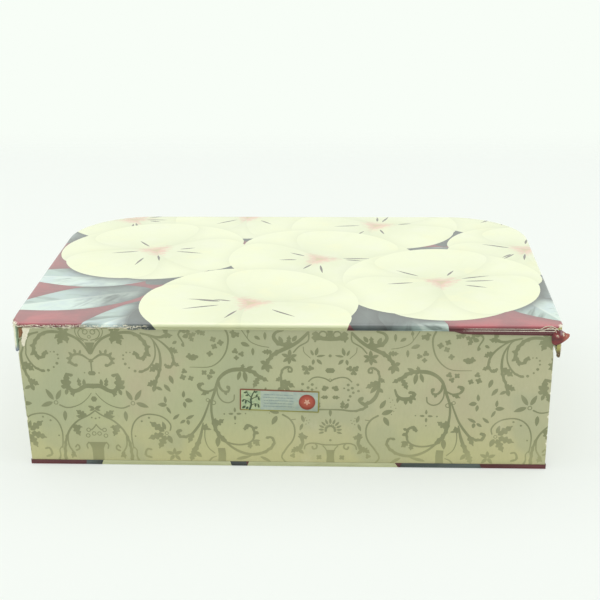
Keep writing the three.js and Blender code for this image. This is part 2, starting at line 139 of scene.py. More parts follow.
# Scrollwork stems: width at the start, middle and end, then points as distance from the
# mirror line and height. The first group is drawn about the first line, the second about the next
STEMS_AT_FIRST = (
    (1.2, 2.0, 2.2, ((0.6, 74.5), (3.5, 79.7), (7, 83.6), (10.6, 85.8), (15, 87.4), (21, 88.4), (26, 88),
     (30, 85.8), (32.8, 82.4), (34.3, 79), (34.2, 75.6), (32.4, 72.6))),
    (2.2, 1.8, 2.4, ((32.4, 72.6), (30.6, 71.6), (28.9, 72.4), (27.6, 74.6))),
    (0.8, 0.9, 1.5, ((34.4, 87.2), (37.6, 84.7), (39.2, 79.7), (39, 73), (36.5, 67.6), (33, 64.1),
     (29.2, 62.8))),
    (0.7, 0.7, 0.7, ((1, 83), (5, 84.5), (6.5, 88), (4.6, 90.6), (3.2, 88.9))),
    (0.7, 0.6, 0.6, ((3.5, 82.5), (7.2, 85.4), (8.4, 89.4), (6.8, 92))),
    (0.9, 1.7, 1.5, ((0, 69.8), (2.4, 71.4), (5.2, 73.4), (8.5, 74), (11.4, 72.8), (12.8, 70.2),
     (11.8, 67.6), (9.4, 66.7))),
    (1.2, 1.0, 0.9, ((0, 69.4), (0, 66.2), (0, 63))),
    (3.2, 2.6, 1.4, ((0, 53), (4.6, 53), (9.9, 50), (14, 50.6), (16.8, 53.4))),
    (2.4, 2.2, 1.8, ((16.8, 54), (16.6, 58), (15.4, 60.4), (12.6, 60.2))),
    (0.5, 0.7, 1.1, ((1.4, 48.3), (4.2, 44.7), (8.5, 41.1), (13.5, 39), (17.8, 38.6), (21.6, 40.2))),
    (0.9, 1.3, 1.8, ((0, 36.6), (4.2, 33.5), (10.6, 30.2), (15, 26.1), (17.8, 21.9), (20, 16.1), (21, 10.4),
     (21.4, 2.6))),
    (0.8, 1.0, 1.2, ((18.2, 21.5), (18.6, 16.8), (18.2, 12.6), (16.4, 9.2), (14.6, 5.4))),
    (1.0, 1.1, 1.2, ((14.2, 11.8), (12.9, 13.4), (11.8, 12.2), (12, 10.4), (13.8, 9.6))),
    (0.8, 0.8, 0.8, ((3.2, 23.6), (1.4, 25.2), (0, 27.2))),
    (0.9, 0.9, 0.9, ((5.6, 15), (6.9, 13.2), (6.4, 11))),
    (0.9, 1.0, 0.9, ((22.6, 11.4), (21.9, 17), (21.9, 22.6), (23.5, 28.2), (26.4, 31.9), (29.9, 33.9),
     (34.2, 34.6), (40.4, 33.4), (44.6, 30.4), (46.5, 26.9), (45.9, 23.8))),
    (0.7, 0.8, 1.3, ((23, 12), (24.6, 9.8), (24.4, 6), (25.4, 3))),
    (1.3, 1.4, 1.2, ((33.6, 10.6), (31.4, 11), (30, 8.6), (30.6, 6), (33.4, 5.2))),
    (1.2, 1.7, 2.0, ((31, 88), (35.5, 86.9), (40.5, 85.6), (44.8, 86.1), (46.6, 88.3), (45.9, 91.6))),
    (0.8, 1.5, 1.4, ((37, 86.2), (41.2, 84), (45.5, 80.4), (48.8, 76.1), (50.1, 71.1), (49, 67.4),
     (46.4, 65.8), (45, 67.8))),
    (0.7, 1.7, 1.4, ((37.6, 84.8), (40.2, 80.6), (41.8, 76.1), (42.2, 69.7), (41.2, 63.3), (39.1, 57.6),
     (38, 52.4))),
    (0.8, 1.1, 1.5, ((56.6, 81.8), (55, 84.7), (53.6, 87.5), (55.2, 89.8), (57.6, 89.4))),
    (1.3, 0.9, 0.4, ((81.6, 91.6), (83.2, 87.6), (83.1, 81.9), (81.2, 75.4), (76.9, 69.7), (71, 66.6),
     (59.8, 66.4))),
    (0.6, 0.6, 0.5, ((91.2, 91.6), (94.1, 86.9), (96.9, 83.3), (102.4, 80.9), (107.6, 80))),
    (0.5, 0.5, 0.5, ((95.5, 89.4), (94.9, 86), (95.8, 84.4))),
    (1.8, 2.7, 2.2, ((76.1, 55.4), (76.9, 58.6), (80.3, 62.4), (84.8, 64.7), (89.8, 65.3), (94.8, 64.9),
     (98.4, 63.2), (101.8, 60.2))),
    (1.2, 2.9, 1.7, ((105.2, 53), (103.8, 49), (100.9, 47), (96.9, 47), (94, 49), (94.2, 51.2),
     (96.4, 51.2))),
    (1.8, 1.5, 1.3, ((76.6, 56.8), (77.4, 53.2), (79.6, 50.6), (82.2, 50.6), (83.2, 52.4), (82, 53.9))),
    (0.9, 0.9, 0.9, ((75.7, 53.3), (76.1, 48.4), (78.6, 44.2), (82.4, 43), (85.6, 44.8), (86.1, 48.2))),
    (1.1, 1.5, 1.6, ((75, 52.6), (70.5, 50.4), (66.2, 51.3), (64.5, 53.4), (65.2, 55.5), (67.3, 55.3))),
    (1.9, 1.4, 2.6, ((76, 56.4), (74, 49.7), (72.2, 44), (71.8, 37.6), (72.4, 31.9), (73.6, 26.1),
     (76, 21.1), (79.4, 17.2))),
    (1.0, 1.7, 1.7, ((71.2, 44.7), (68.7, 37.6), (66, 31.1), (62.4, 25.4), (58.8, 21.1), (55.4, 19.6),
     (52.1, 19.8), (50.6, 21.8), (51, 23.8), (52.6, 23.7))),
    (0.9, 2.1, 2.8, ((66.4, 29), (64.8, 21.1), (62.6, 14.7), (60, 9.2))),
    (0.7, 0.7, 0.7, ((67.6, 26.9), (67.2, 19), (69, 12.6), (73, 8.5))),
    (0.9, 1.1, 0.6, ((69, 2.4), (71.2, 5.2), (74, 6.4))),
    (1.2, 1.3, 1.7, ((78.2, 17.2), (84.1, 15), (89.8, 14.6), (94.2, 15.8), (96.9, 18.3), (97.7, 22.6),
     (96.9, 26), (94.8, 27.8), (92.6, 27.2), (92, 25.2))),
    (1.3, 2.0, 1.3, ((79.4, 16.8), (84.8, 12), (90.5, 9), (96.2, 7.9), (101.9, 8.9), (106.4, 11.4),
     (109.2, 14.7), (109.5, 17.9), (107.4, 20), (105.1, 19.4))),
)
STEMS_AT_SECOND = (
    (2.6, 2.6, 2.2, ((0, 85.9), (4.4, 86.2), (8.4, 86.8))),
    (1.8, 2.6, 2.0, ((13, 89.9), (18, 84.8), (23, 81.2), (28.8, 78.3), (33.8, 75.4), (36.2, 72.4),
     (37.7, 70.2), (38.5, 67.8))),
    (1.4, 2.4, 2.6, ((28, 91.2), (32.1, 89.8), (33.6, 86.9), (31.7, 83.6), (28.2, 82), (23.6, 82.4))),
    (0.9, 0.9, 0.9, ((12.6, 89), (13.2, 84.4), (18.6, 80.8), (21.8, 77))),
    (0.5, 0.5, 0.5, ((16, 80.6), (15.4, 77), (11.8, 73.4))),
    (0.9, 0.9, 0.9, ((0, 58), (2.7, 59.8), (7, 60.9), (10.5, 60.2), (12.9, 58))),
    (1.2, 1.4, 1.3, ((25, 64.2), (23.2, 64.2), (23, 66), (24.4, 67.3), (26.9, 67), (28.8, 64.8),
     (29.6, 61.6))),
    (1.3, 2.5, 1.4, ((29.6, 61.6), (29.4, 56.9), (28.8, 51.9), (27, 47.6), (24.1, 44.4), (20.5, 43.2),
     (18, 44.6), (18, 46.9), (19.6, 47.2))),
    (0.9, 1.3, 1.6, ((0, 39.2), (7, 39.1), (12.5, 38.4), (17, 38.9), (20.6, 40.4), (22.2, 41.8))),
    (0.9, 1.0, 1.0, ((0, 15.1), (4.1, 15.1), (8.4, 16), (12.7, 16), (15.4, 14.4), (15.9, 12.2))),
    (1.0, 1.1, 1.2, ((9.4, 16), (8.2, 14.4), (8.7, 12.6), (10.5, 12.2), (11, 13.6))),
    (0.7, 0.7, 0.7, ((4.6, 14.4), (3, 12.6), (2.4, 11))),
    (1.2, 1.0, 1.2, ((28.9, 35.4), (25, 32.8), (22.2, 28.3), (21.7, 22.6), (23.2, 17.6), (26.3, 13.3),
     (28.8, 9.2))),
    (0.6, 0.6, 0.6, ((24.6, 31.9), (21.2, 32.4))),
    (2.2, 2.0, 2.4, ((17.6, 20), (17, 15.6), (19.6, 12))),
    (1.0, 1.0, 1.0, ((29, 9.4), (29.8, 6), (27.6, 3))),
)

# Leaves: root, tip, width, and how many lobes each side has (0 is a plain pointed leaf)
LEAVES_AT_FIRST = (
    (14.6, 88.4, 19.2, 80, 5, 3), (14.6, 88, 13.2, 80.8, 4, 2), (16, 87, 17.4, 92.6, 4, 2),
    (15, 87, 12.6, 92.2, 3.4, 2), (16, 87.5, 21, 84, 3.4, 2), (6.6, 74, 5.8, 76.8, 1.6, 0),
    (8.9, 74.4, 9.8, 77.4, 1.8, 0), (11, 73, 13.2, 75.4, 1.8, 0), (12.6, 71.2, 15, 71.2, 1.7, 0),
    (12.2, 69, 14.6, 68, 1.7, 0), (15.6, 50, 16, 61.6, 5, 3), (16.5, 54, 19.6, 57, 3, 0),
    (16.5, 52, 19.8, 53, 3, 0), (13.8, 51, 12.4, 45.8, 3.2, 2), (16, 51, 17.2, 47, 2.4, 0),
    (8, 52.6, 8.7, 58.6, 2.8, 2), (5.4, 53, 5.2, 57.8, 2.2, 0), (0, 38, 4.2, 39.8, 2, 0),
    (0, 38, 3.4, 36.6, 1.6, 0), (5.4, 32.4, 11.8, 36.8, 4.2, 3), (7, 32, 12.2, 33, 2.6, 2),
    (14, 27.4, 10.6, 19.4, 4.6, 3), (14, 26, 8.6, 25.4, 2.8, 2), (23.6, 43.6, 20, 50.6, 2.8, 0),
    (25.2, 43.6, 29.6, 51, 2.9, 0), (25.8, 42.2, 33.6, 39.2, 3, 0), (18.8, 36.6, 19.2, 29.4, 2.6, 0),
    (15.4, 9, 17, 4, 3, 2), (32.6, 73, 31.6, 69.8, 2, 0), (34, 75, 36.6, 73, 2, 0),
    (34.2, 79, 36.8, 79.6, 2, 0), (42.4, 23, 33.4, 29.6, 4.8, 3), (43, 24.2, 41.4, 29.8, 2.4, 0),
    (42, 21.4, 32, 18, 4.8, 3), (43, 20.4, 38.6, 11.2, 4.8, 3), (44.4, 20.4, 46.8, 14.8, 3.2, 0),
    (44.6, 86.2, 50.4, 87, 3.4, 2), (46.2, 88, 45, 92.4, 2.8, 2), (47.6, 78.6, 53, 75.6, 4, 3),
    (49.6, 69, 53.6, 67, 3, 2), (41.8, 68.4, 35.2, 63, 5, 3), (39.6, 57, 33.2, 53.6, 4.4, 3),
    (38.2, 54, 36.8, 49.6, 2.8, 0), (38.6, 53, 42.6, 50.8, 2.2, 0), (60.2, 86.6, 64.4, 88.6, 3.2, 2),
    (60.2, 86.6, 62.6, 83, 3.2, 2), (60, 87, 59, 91.2, 3, 2), (59.8, 87, 56, 86, 3, 0),
    (52.6, 83.2, 49.8, 81.4, 2, 0), (55.6, 82, 56.8, 79.4, 2, 0), (90.8, 82.8, 96.2, 80.6, 2.8, 0),
    (98, 79.6, 98, 74.4, 1.9, 0), (99, 87.2, 102.6, 85, 2.2, 0), (105.4, 90, 105.4, 84.6, 1.9, 0),
    (95.4, 88.6, 95.4, 92, 1.9, 0), (47.2, 60.8, 49.2, 55, 2.7, 0), (43.6, 54.8, 47.4, 49.8, 2.5, 0),
    (55, 46, 55.4, 50.8, 2.1, 0), (55.8, 44.6, 60.8, 43.8, 3, 0), (55.4, 43.4, 55.9, 39, 2.1, 0),
    (44, 42.2, 43.7, 47, 1.9, 0), (44.8, 41, 39, 41.3, 2.9, 0), (44.4, 39.8, 47, 35, 1.8, 0),
    (55.9, 31.5, 61.2, 34.4, 2.1, 0), (55.6, 31, 52.2, 28.6, 2, 0), (57, 31.2, 57.6, 27.6, 2.3, 0),
    (48, 31.2, 52.2, 35, 2, 0), (101.2, 60.8, 107, 57.6, 3.2, 2), (101, 60.2, 97.8, 53.2, 3.8, 3),
    (102.8, 48.6, 103.8, 44.4, 2.2, 0), (98.8, 46.8, 98.6, 43, 2.4, 0), (96, 46.8, 95.2, 43.6, 2.2, 0),
    (94.4, 48.2, 92.6, 46.2, 1.8, 0),
    (91.2, 65.2, 92, 69, 2.7, 2), (93.6, 65.4, 98.2, 67.4, 2.3, 0), (90.2, 64.2, 88.4, 58, 2.4, 0),
    (92.4, 64.2, 93.6, 56.6, 2.8, 0), (80.4, 50.6, 81.4, 48, 2, 0), (71.2, 50.6, 65.8, 48, 2.9, 2),
    (60.2, 22, 56.8, 15.2, 3.4, 2), (60.4, 10.4, 58, 2.8, 4.4, 3), (61, 9.6, 64.8, 5.6, 2.8, 0),
    (73, 27.4, 79.4, 31.8, 4.2, 3), (72.6, 28, 74.4, 32.6, 2.8, 0), (66.8, 24, 68.6, 28.8, 3.6, 2),
    (67.4, 25.6, 71.4, 24.6, 1.6, 0), (75.4, 20, 74.8, 12.6, 3.2, 0), (97.6, 23.4, 100.6, 22.2, 2.4, 0),
    (97.4, 25.8, 100, 26.8, 2, 0), (94.4, 16.2, 95.2, 11.8, 3.4, 2), (96.8, 17.2, 101, 14, 3.6, 2),
    (96.6, 17, 101.2, 17.6, 2, 0), (86, 4.4, 96, 7, 2.2, 0), (101, 6.6, 107.8, 2.8, 2, 0),
    (86.1, 36.6, 86.1, 40, 1.5, 0), (86.1, 34.4, 86.1, 31.2, 1.5, 0), (85.2, 35.6, 82, 35.5, 1.5, 0),
    (87, 35.6, 90.2, 35.7, 1.5, 0), (47.6, 7.4, 43, 9.4, 2.4, 0), (48, 7.4, 52.6, 9.6, 2.4, 0),
    (47.8, 7, 45, 3.2, 2.4, 0), (48.2, 7, 51.6, 3.4, 2.4, 0), (47.8, 7.6, 48.2, 12, 2.2, 0),
)
LEAVES_AT_SECOND = (
    (8.4, 91, 8.9, 83.6, 5, 2), (6.4, 87.4, 10.6, 89.4, 3, 0), (34.5, 77, 40.8, 77, 3.6, 3),
    (38.4, 69.4, 41.8, 70.8, 2.8, 0), (38.4, 68.6, 41.2, 65.2, 2.8, 0), (38.4, 68, 36.8, 63.4, 2.6, 0),
    (38, 68.6, 34.4, 66, 2.4, 0), (28.4, 82.6, 30.4, 87.4, 2.6, 0), (24.8, 83, 24.2, 88, 3, 2),
    (22.4, 84, 19.8, 88, 2.6, 0), (8.6, 75, 7.4, 80.4, 2.2, 0), (10, 75, 11.6, 78.8, 1.6, 0),
    (8.2, 74.4, 2.8, 75.3, 1.5, 0), (8, 72.6, 4.8, 69.2, 2.1, 0), (9.8, 72.6, 10.4, 68.8, 1.9, 0),
    (24.3, 74.2, 24, 79, 2.4, 0), (24.6, 74, 29, 75.8, 2.4, 0), (24.6, 73.4, 28.2, 70.6, 2.2, 0),
    (24.2, 73.2, 24.6, 69, 2.2, 0), (23.8, 73.4, 20.2, 71, 2.2, 0), (23.8, 74, 19.8, 75.4, 2.4, 0),
    (29.2, 58.4, 21.2, 53.8, 4.4, 3), (28.6, 56, 24, 50.4, 2.8, 0), (29.4, 60.4, 32.8, 57.8, 3, 2),
    (29, 53.8, 31.8, 51, 2.6, 0), (1.2, 47.6, 5.8, 47.3, 2.8, 2), (7.2, 39.8, 7.6, 45.4, 3, 2),
    (8.8, 39.8, 11, 43.8, 2.6, 0), (0, 39.4, 0, 34.4, 2, 0), (16, 30.4, 17.4, 35.4, 2.2, 0),
    (16.8, 29.6, 18.6, 24.6, 1.9, 0), (18, 19.4, 13.6, 20.8, 3.4, 2), (18.4, 19, 17, 23.6, 4, 2),
    (18.8, 13.4, 24.2, 9.6, 4, 3), (30, 40.2, 33.6, 46.2, 2.8, 0), (31, 36.4, 38, 39.2, 3.3, 0),
    (32.4, 34.6, 35.6, 28.4, 3.1, 0), (20, 12, 16.2, 8.8, 2.4, 0),
)

# Dots: distance from the mirror line, height and radius
DOTS_AT_FIRST = (
    (26.5, 63.3, 0.95), (23, 65.4, 0.65), (20.8, 67.9, 0.95), (19.7, 71.1, 0.65), (19.9, 73.6, 0.65),
    (21.9, 75.4, 0.6), (24.1, 75.4, 0.45), (26.8, 74.9, 1.4), (0, 69.4, 1.4), (9.2, 66.8, 1.1),
    (4.4, 61.8, 0.5), (0, 44.4, 1.7), (2.4, 31.9, 0.6), (0, 31.3, 0.6), (33.2, 32.2, 0.7),
    (28.6, 29.8, 0.7), (24.2, 19.6, 0.6), (59.8, 73.4, 2), (63, 73, 2), (61.4, 71.9, 1.2),
    (74.3, 84.7, 1.8), (78.7, 82.6, 1.9), (74.9, 80.1, 1.8), (72.1, 75.3, 1.8), (87.3, 77.2, 1.8),
    (91.1, 75.4, 1.7), (88, 72.9, 1.5), (68.3, 62.9, 1.7), (73, 63.3, 1.8), (71.4, 60.1, 1.7),
    (56.2, 63.6, 1.7), (55.3, 59.7, 1.9), (60.1, 59, 1.7), (86.2, 89.2, 1.7), (88.6, 88, 1.7),
    (86.6, 87, 1.3), (65.8, 89.4, 1.7), (68.2, 88.6, 1.7), (93, 26.4, 1.3), (65.4, 54.6, 1.3),
    (82.6, 53.2, 1.3), (51.2, 23.2, 1.2), (46.2, 66.6, 1.4), (79.6, 35.4, 0.6), (92.6, 35.8, 0.5),
    (86.1, 29, 0.5), (57.2, 89.6, 1.3), (105.8, 19.6, 1),
)
DOTS_AT_SECOND = (
    (0, 75, 1), (15.5, 66.9, 1.8), (11.6, 66.7, 1.8), (14.1, 63.9, 1.8), (13.6, 66, 1),
    (16.6, 56.1, 0.95), (10.8, 55.9, 0.95), (13.3, 53.8, 0.95), (10.9, 52.5, 0.85), (17, 51.9, 0.85),
    (13.9, 50.8, 0.85), (8.4, 53.6, 0.6), (12, 48.3, 0.9), (10.9, 45.8, 0.8), (2.9, 53.6, 1.8),
    (4, 52.9, 1.2), (0, 18.3, 0.8), (24.3, 73.8, 0.9), (7, 6.4, 1.7), (19, 46.4, 1.1),
    (14.4, 31.6, 0.4), (13.2, 30, 0.4), (14.8, 29.2, 0.4), (12.6, 32, 0.35), (15, 33.4, 0.35),
    (37, 36.4, 0.35), (38.4, 38.6, 0.35), (36.6, 41.4, 0.35), (38.8, 42.8, 0.35), (36.2, 44.6, 0.35),
    (39.6, 40.6, 0.35), (35.6, 47.4, 0.35), (37.6, 46.2, 0.35), (40.4, 44.6, 0.35), (23, 7.4, 1.6),
)

# Rings: distance from the mirror line, height, radius and width of line
RINGS_AT_FIRST = (
    (2.3, 88.4, 1.5, 0.6), (0, 85.2, 0.9, 0.5), (23.9, 41.9, 1.2, 0.6), (5, 23.6, 1.2, 0.6),
    (1.7, 21.1, 1.2, 0.6), (5.6, 19.7, 1.2, 0.6), (43.7, 21.9, 1, 0.5), (73.3, 42.9, 1.3, 0.6),
    (69.8, 44.7, 1, 0.5),
)
RINGS_AT_SECOND = (
    (4.2, 88.6, 2.3, 1), (0, 59, 0.8, 0.5), (24, 65.6, 1.3, 0.9),
)

# Solid shapes drawn once across the mirror line: points as distance and height
SHAPES_AT_FIRST = (
    ((0, 73.2), (1.5, 77.6), (3.2, 81.6), (-3.2, 81.6), (-1.5, 77.6)),
    ((2.5, 61.5), (1.6, 62.9), (-1.6, 62.9), (-2.5, 61.5), (-1.6, 60.1), (1.6, 60.1)),
    ((6.4, 15.3), (4.8, 13.6), (3.7, 11), (3.5, 2.4), (-3.5, 2.4), (-3.7, 11), (-4.8, 13.6), (-6.4, 15.3)),
    ((74.9, 12), (79.4, 12.2), (79.9, 8), (79.7, 2.4), (74.9, 2.4), (75.2, 8)),
)
SHAPES_AT_SECOND = (
    ((3, 65.3), (1.9, 66.9), (-1.9, 66.9), (-3, 65.3), (-1.9, 63.7), (1.9, 63.7)),
    ((2.6, 11.6), (2.2, 7), (2.6, 2.4), (-2.6, 2.4), (-2.2, 7), (-2.6, 11.6)),
    ((1.6, 91.6), (1.6, 86), (-1.6, 86), (-1.6, 91.6)),
)

# The fan of rays low on the second mirror line
FAN_HEIGHT = 25
FAN_RAYS = 11
FAN_SPREAD = radians(212)
FAN_INNER = 2.2
FAN_OUTER = 8.4
FAN_RAY_WIDTH = 1.5
FAN_GAP_SHARE = 0.52

# Soft shadows of the flowered print's upper shapes on lower ones
SHADE_REACH = 13
SHADE_STEP = 2.5

# Fineness of the print
STEM_STEP = 1.6
LEAF_STEPS = 5
DOT_SIDES = 10
LOBED_FROM = 1.35
BUMPED_FROM = 1.2
BUMPED_SHARE = 0.6
BUMP_SHARE = 0.3
FRONT_CORNER_STEPS = 30
REAR_CORNER_STEPS = 5
WRAP_STEP = 12
WRAP_END_STEPS = (2, 4, 6, 9, 12, 16)
SHEET_STEP = 8
SHEET_END_STEPS = (0, 0.3, 0.7, 1.2, 1.8, 2.6, 3.5, 5, 7, 10, 14, 18, 22)
MERGE_PRINT = 0.0005
MERGE_FOLDED = 0.002
MERGE_COPIED = 0.005
MERGE_METAL = 0.001

# Torn place at the left end of the back wall: the paper is gone, or only its core is left
TORN_AWAY = ((-161, 91.8), (-156.4, 91.8), (-156.9, 89.4), (-156.5, 87.6), (-157.4, 85.8), (-158.6, 84.2),
             (-161, 84.6))
TORN_CORE = ((-157, 91.7), (-151.4, 91.7), (-152.6, 88.6), (-153.9, 85.6), (-155.2, 82.2), (-156.2, 79.4),
             (-157.4, 78.4), (-158, 81), (-157.6, 84.6), (-156.8, 87.6))
RAGGED_STEP = 0.7
RAGGED_SIZE = 0.28

# Label, and the twig on it: stems and leaves as in the scrollwork, about the label's middle
LABEL_WIDTH = 48
LABEL_HEIGHT = 14
LABEL_TILT = 1.7
LABEL_CORNER = 0.5
TWIG_STEMS = (
    (1.2, 1, 0.6, ((-18, -6.3), (-17, -3), (-17.4, 0), (-16.6, 3), (-15.2, 6))),
    (0.7, 0.6, 0.4, ((-17, -2.4), (-19.2, -0.8), (-21.6, 0.2))),
    (0.7, 0.6, 0.4, ((-17.2, 0.2), (-14.8, 1.8), (-12.2, 2.2))),
    (0.6, 0.5, 0.4, ((-17, 1.6), (-19, 3.6), (-19.8, 5.8))),
    (0.6, 0.5, 0.4, ((-16.9, -3.4), (-14.6, -2.4), (-12.4, -3))),
)
TWIG_LEAVES = (
    (-21.4, 0.2, -22.8, -1.6, 1.3, 0), (-20.2, -0.2, -20.6, -2.8, 1.3, 0), (-19.6, 5.2, -21.8, 4.4, 1.3, 0),
    (-18.6, 3.2, -20.8, 2.6, 1.2, 0), (-12.8, 2, -12.2, -0.4, 1.3, 0), (-14.2, 1.7, -13.4, 4, 1.3, 0),
    (-15.6, 5, -13.2, 5.7, 1.2, 0), (-13, -2.8, -12.2, -5.2, 1.3, 0), (-14.6, -2.4, -14.4, -4.8, 1.3, 0),
    (-22.6, -5.8, -20.4, -4, 1.6, 0), (-20.2, -6.2, -18.8, -4.4, 1.3, 0),
)

# Latch and handle
PLATE = 0.8
PLATE_CORNER = 1.6
BRACKET_CORNER = 2.6
EDGE_EASE = 0.22
PIN_EASE = 0.3
LIP_EASE = 0.35
CATCH_EASE = 0.3
WIRE_EASE = 0.35
SADDLE_EASE = 0.18
HASP_CORNER = 0.4
SLOT_CORNER = 0.8
KNUCKLE_RADIUS = 1.8
KNUCKLE_WIDTH = 4.2
MIDDLE_KNUCKLE_WIDTH = 17
HASP_WIDTH = 16
LIP_RADIUS = 1.3
SLOT_WIDTH = 10.4
SLOT_HEIGHT = 5.4
CATCH_WIDTH = 8
CATCH_HEIGHT = 4
CATCH_BEVEL = 1.2
WIRE_RADIUS = 1.6
WIRE_HOLE = 1.9
WIRE_BEND = 4
WIRE_PAST_BRACKET = 2
SADDLE_RADIUS = 2.8
SADDLE_INSET = 0.4
SADDLE_FLARE = ((0, 0.5), (0.7, 0.4), (1.2, 0))
GRIP_EASE = 0.35
STITCHES = 22
STITCH_HALVES = (0.85, 0.22, 0.26)
STITCH_SIDE = -52
STITCH_TURN = 18
GRIP_END_SHARE = 0.82
FERRULE_RADIUS = 2.9
FERRULE_END = ((0, 0.5), (0.3, 0.2), (0.7, 0), (1, 0.25))
RIVET_HEAD_RADIUS = 2.3
RIVET_HEAD_HEIGHT = 1
RIVET_CLINCH_RADIUS = 2
RIVET_CLINCH_HEIGHT = 0.5
RIVET_SHANK_RADIUS = 1.1
RIVET_EASE = 0.25
RIVET_SKIRT = 0.2

# Rear corners pressed in by use: the lid's are rounded, and those of lid and walls moved inwards
CRUSHED_RADIUS = 3.5
LID_PRESSED_LEFT = 1.2
LID_PRESSED_RIGHT = 0
WALL_PRESSED_LEFT = 0.9
WALL_PRESSED_RIGHT = 0.4
PRESSED_BACK = 16
PRESSED_SIDE = 22
PRESSED_LOW = 74
PRESSED_HIGH = 77
RIM_SAG = 1.7
RIM_SAG_LENGTH = 40

# The rear ends of the side walls lean in towards the foot
LEAN_LEFT = 2.5
LEAN_RIGHT = 1
LEAN_HEIGHT = 78
LEAN_REACH = 150
LEAN_POWER = 4

# Lower edge of the flowered paper on the back wall, from the right: place and height. The tail is
# how many points at the end of its ragged part are dropped, which lead back to where that began
RAGGED_TAIL = 12
STRIP_EDGE = (
    (160, 88.5), (112, 88.5), (105, 88.9), (101, 90.2), (92, 90.45), (60, 90.5), (20, 90.45), (-30, 90.5),
    (-74, 90.4), (-80, 90.1), (-84, 90.5), (-90, 90.1), (-94, 90.5), (-98, 89.8), (-103, 90.5), (-110, 90.1),
    (-114, 90.5), (-121, 90), (-126, 90.5), (-131, 89.6), (-137, 90.5), (-143, 89.6), (-148, 90.5),
    (-152, 89.8), (-155, 90.5), (-157, 90.5),
)
FRAYED_LEFT = -82
FRAYED_RIGHT = 100
FRAYED_REACH = 9

# Torn paper that stands off the rear corners: threads of core as points, and a flap as rows of points
THREAD_STEP = 0.8
THREAD_HALF = 0.32
FLAKES = 44
FLAKE_SHORT = 0.5
FLAKE_LONG = 2.6
TORN_THREADS = (
    ((148, -109.9, 91.4), (151.4, -110, 91.9), (153.6, -109.9, 93.2), (156.6, -109.6, 93.6),
     (159.6, -109.8, 92.8), (161.6, -110, 91.2), (162.6, -110, 89)),
    ((150, -109.9, 90.6), (153, -110.1, 91), (155.4, -110.1, 92.3), (157.6, -110, 92.6),
     (159.8, -110.2, 91.4), (160.6, -110.3, 89.6)),
    ((162.4, -109.6, 92.6), (163.2, -109.4, 90.4), (163.4, -109.4, 87.8)),
    ((-162.6, -101, 93.8), (-162.4, -105, 93.8), (-161.4, -108, 93.4), (-159.4, -109.6, 92.2)),
    ((-162, -109.4, 91.6), (-160.4, -109.9, 92.4), (-157.6, -110, 91.8), (-155.4, -109.9, 92)),
)
TORN_FLAP = (
    ((158.2, -109.8, 91.2), (160.8, -110.2, 91.5), (163.4, -109.9, 91.6)),
    ((158, -110.1, 88.2), (161.2, -110.9, 89), (164.2, -110.5, 91.2)),
    ((158, -110.3, 85), (161.6, -111.3, 87), (164.9, -111.2, 90.8)),
    ((158.6, -110.2, 82.2), (162.8, -111.4, 85.8), (165.6, -111.7, 90.5)),
    ((161.4, -110.6, 81.9), (164.4, -111.9, 86.2), (166, -112, 90.2)),
    ((164.4, -111.2, 84), (166, -111.9, 87.2), (167, -111.8, 90)),
    ((167.2, -111, 86.2), (168.2, -111.3, 87.8), (168.4, -111.2, 89.6)),
)

# The flowered print, in millimetres of flat paper: blossoms as middle, radius, petals and turn
LID_BLOSSOMS = (
    (-124, 104, 50, 5, 25), (-38, 112, 56, 6, 20), (150, 112, 46, 5, 5), (58, 90, 62, 6, 12),
    (-96, 30, 64, 6, 50), (160, 34, 54, 6, 20), (18, 12, 66, 6, 0), (98, -34, 66, 6, 33),
    (-22, -74, 70, 6, 8),
    (216, -100, 32, 6, 0),
)
# Leaves as root, tip, width and how dark the leaf is, from 0 to 1
LID_LEAVES = (
    (-86, -50, -176, -84, 40, 0.2), (-60, -62, -128, -132, 34, 0.1), (-90, -30, -190, -24, 36, 0),
    (-78, -70, -84, -138, 26, 0.9), (38, -70, 66, -134, 30, 0.9), (60, -80, 100, -136, 34, 0.5),
    (140, -50, 166, -104, 34, 0.1), (130, -30, 190, -62, 34, 0.6), (-150, 50, -192, 78, 30, 0.2),
    (-150, 70, -178, 132, 30, 0.7), (-90, 84, -76, 132, 26, 0.2), (-30, 50, -40, 92, 28, 0.6),
    (6, 70, 12, 130, 28, 0.1), (104, 40, 110, 96, 30, 0.8), (96, 108, 108, 150, 26, 0.3),
    (60, 20, 130, 34, 26, 0.4), (-50, -20, -34, 40, 34, 0.9), (-92, -40, -60, -6, 26, 0.9),
    (150, -20, 196, -8, 26, 0.2),
)
BOTTOM_BLOSSOMS = (
    (-74.6, -96, 42.5, 6, 20), (25, -92, 52, 7, 0), (-30, 30, 62, 6, 30), (92, 40, 60, 6, 10),
    (-124, -20, 48, 6, 0), (120, -40, 46, 6, 40), (-104, 84, 46, 6, 15), (24, 112, 44, 6, 0),
)
BOTTOM_LEAVES = (
    (-116, -80, -120, -132, 15, 1), (-30, -60, -30, -134, 16, 1), (96, -78, 95, -136, 54, 1),
    (80, -60, 150, -60, 26, 0.2), (-140, -30, -176, -76, 24, 0.4), (30, 10, 44, -44, 26, 0.9),
    (-70, 60, -60, 112, 30, 0.2), (70, 80, 100, 122, 30, 0.6), (-60, -20, -90, -50, 26, 0.1),
    (140, 60, 176, 90, 26, 0.3), (-140, 40, -178, 62, 26, 0.2),
)
STAMENS = 6
STAMEN_WIDTH = 1.6

# Points added inside the flat sheets: step, and the first and last count of steps each way
LID_GRID = (5, (-36, 37), (-28, 28))
BOTTOM_GRID = (10, (-16, 17), (-11, 12))
CORNER_STEP = 1.5

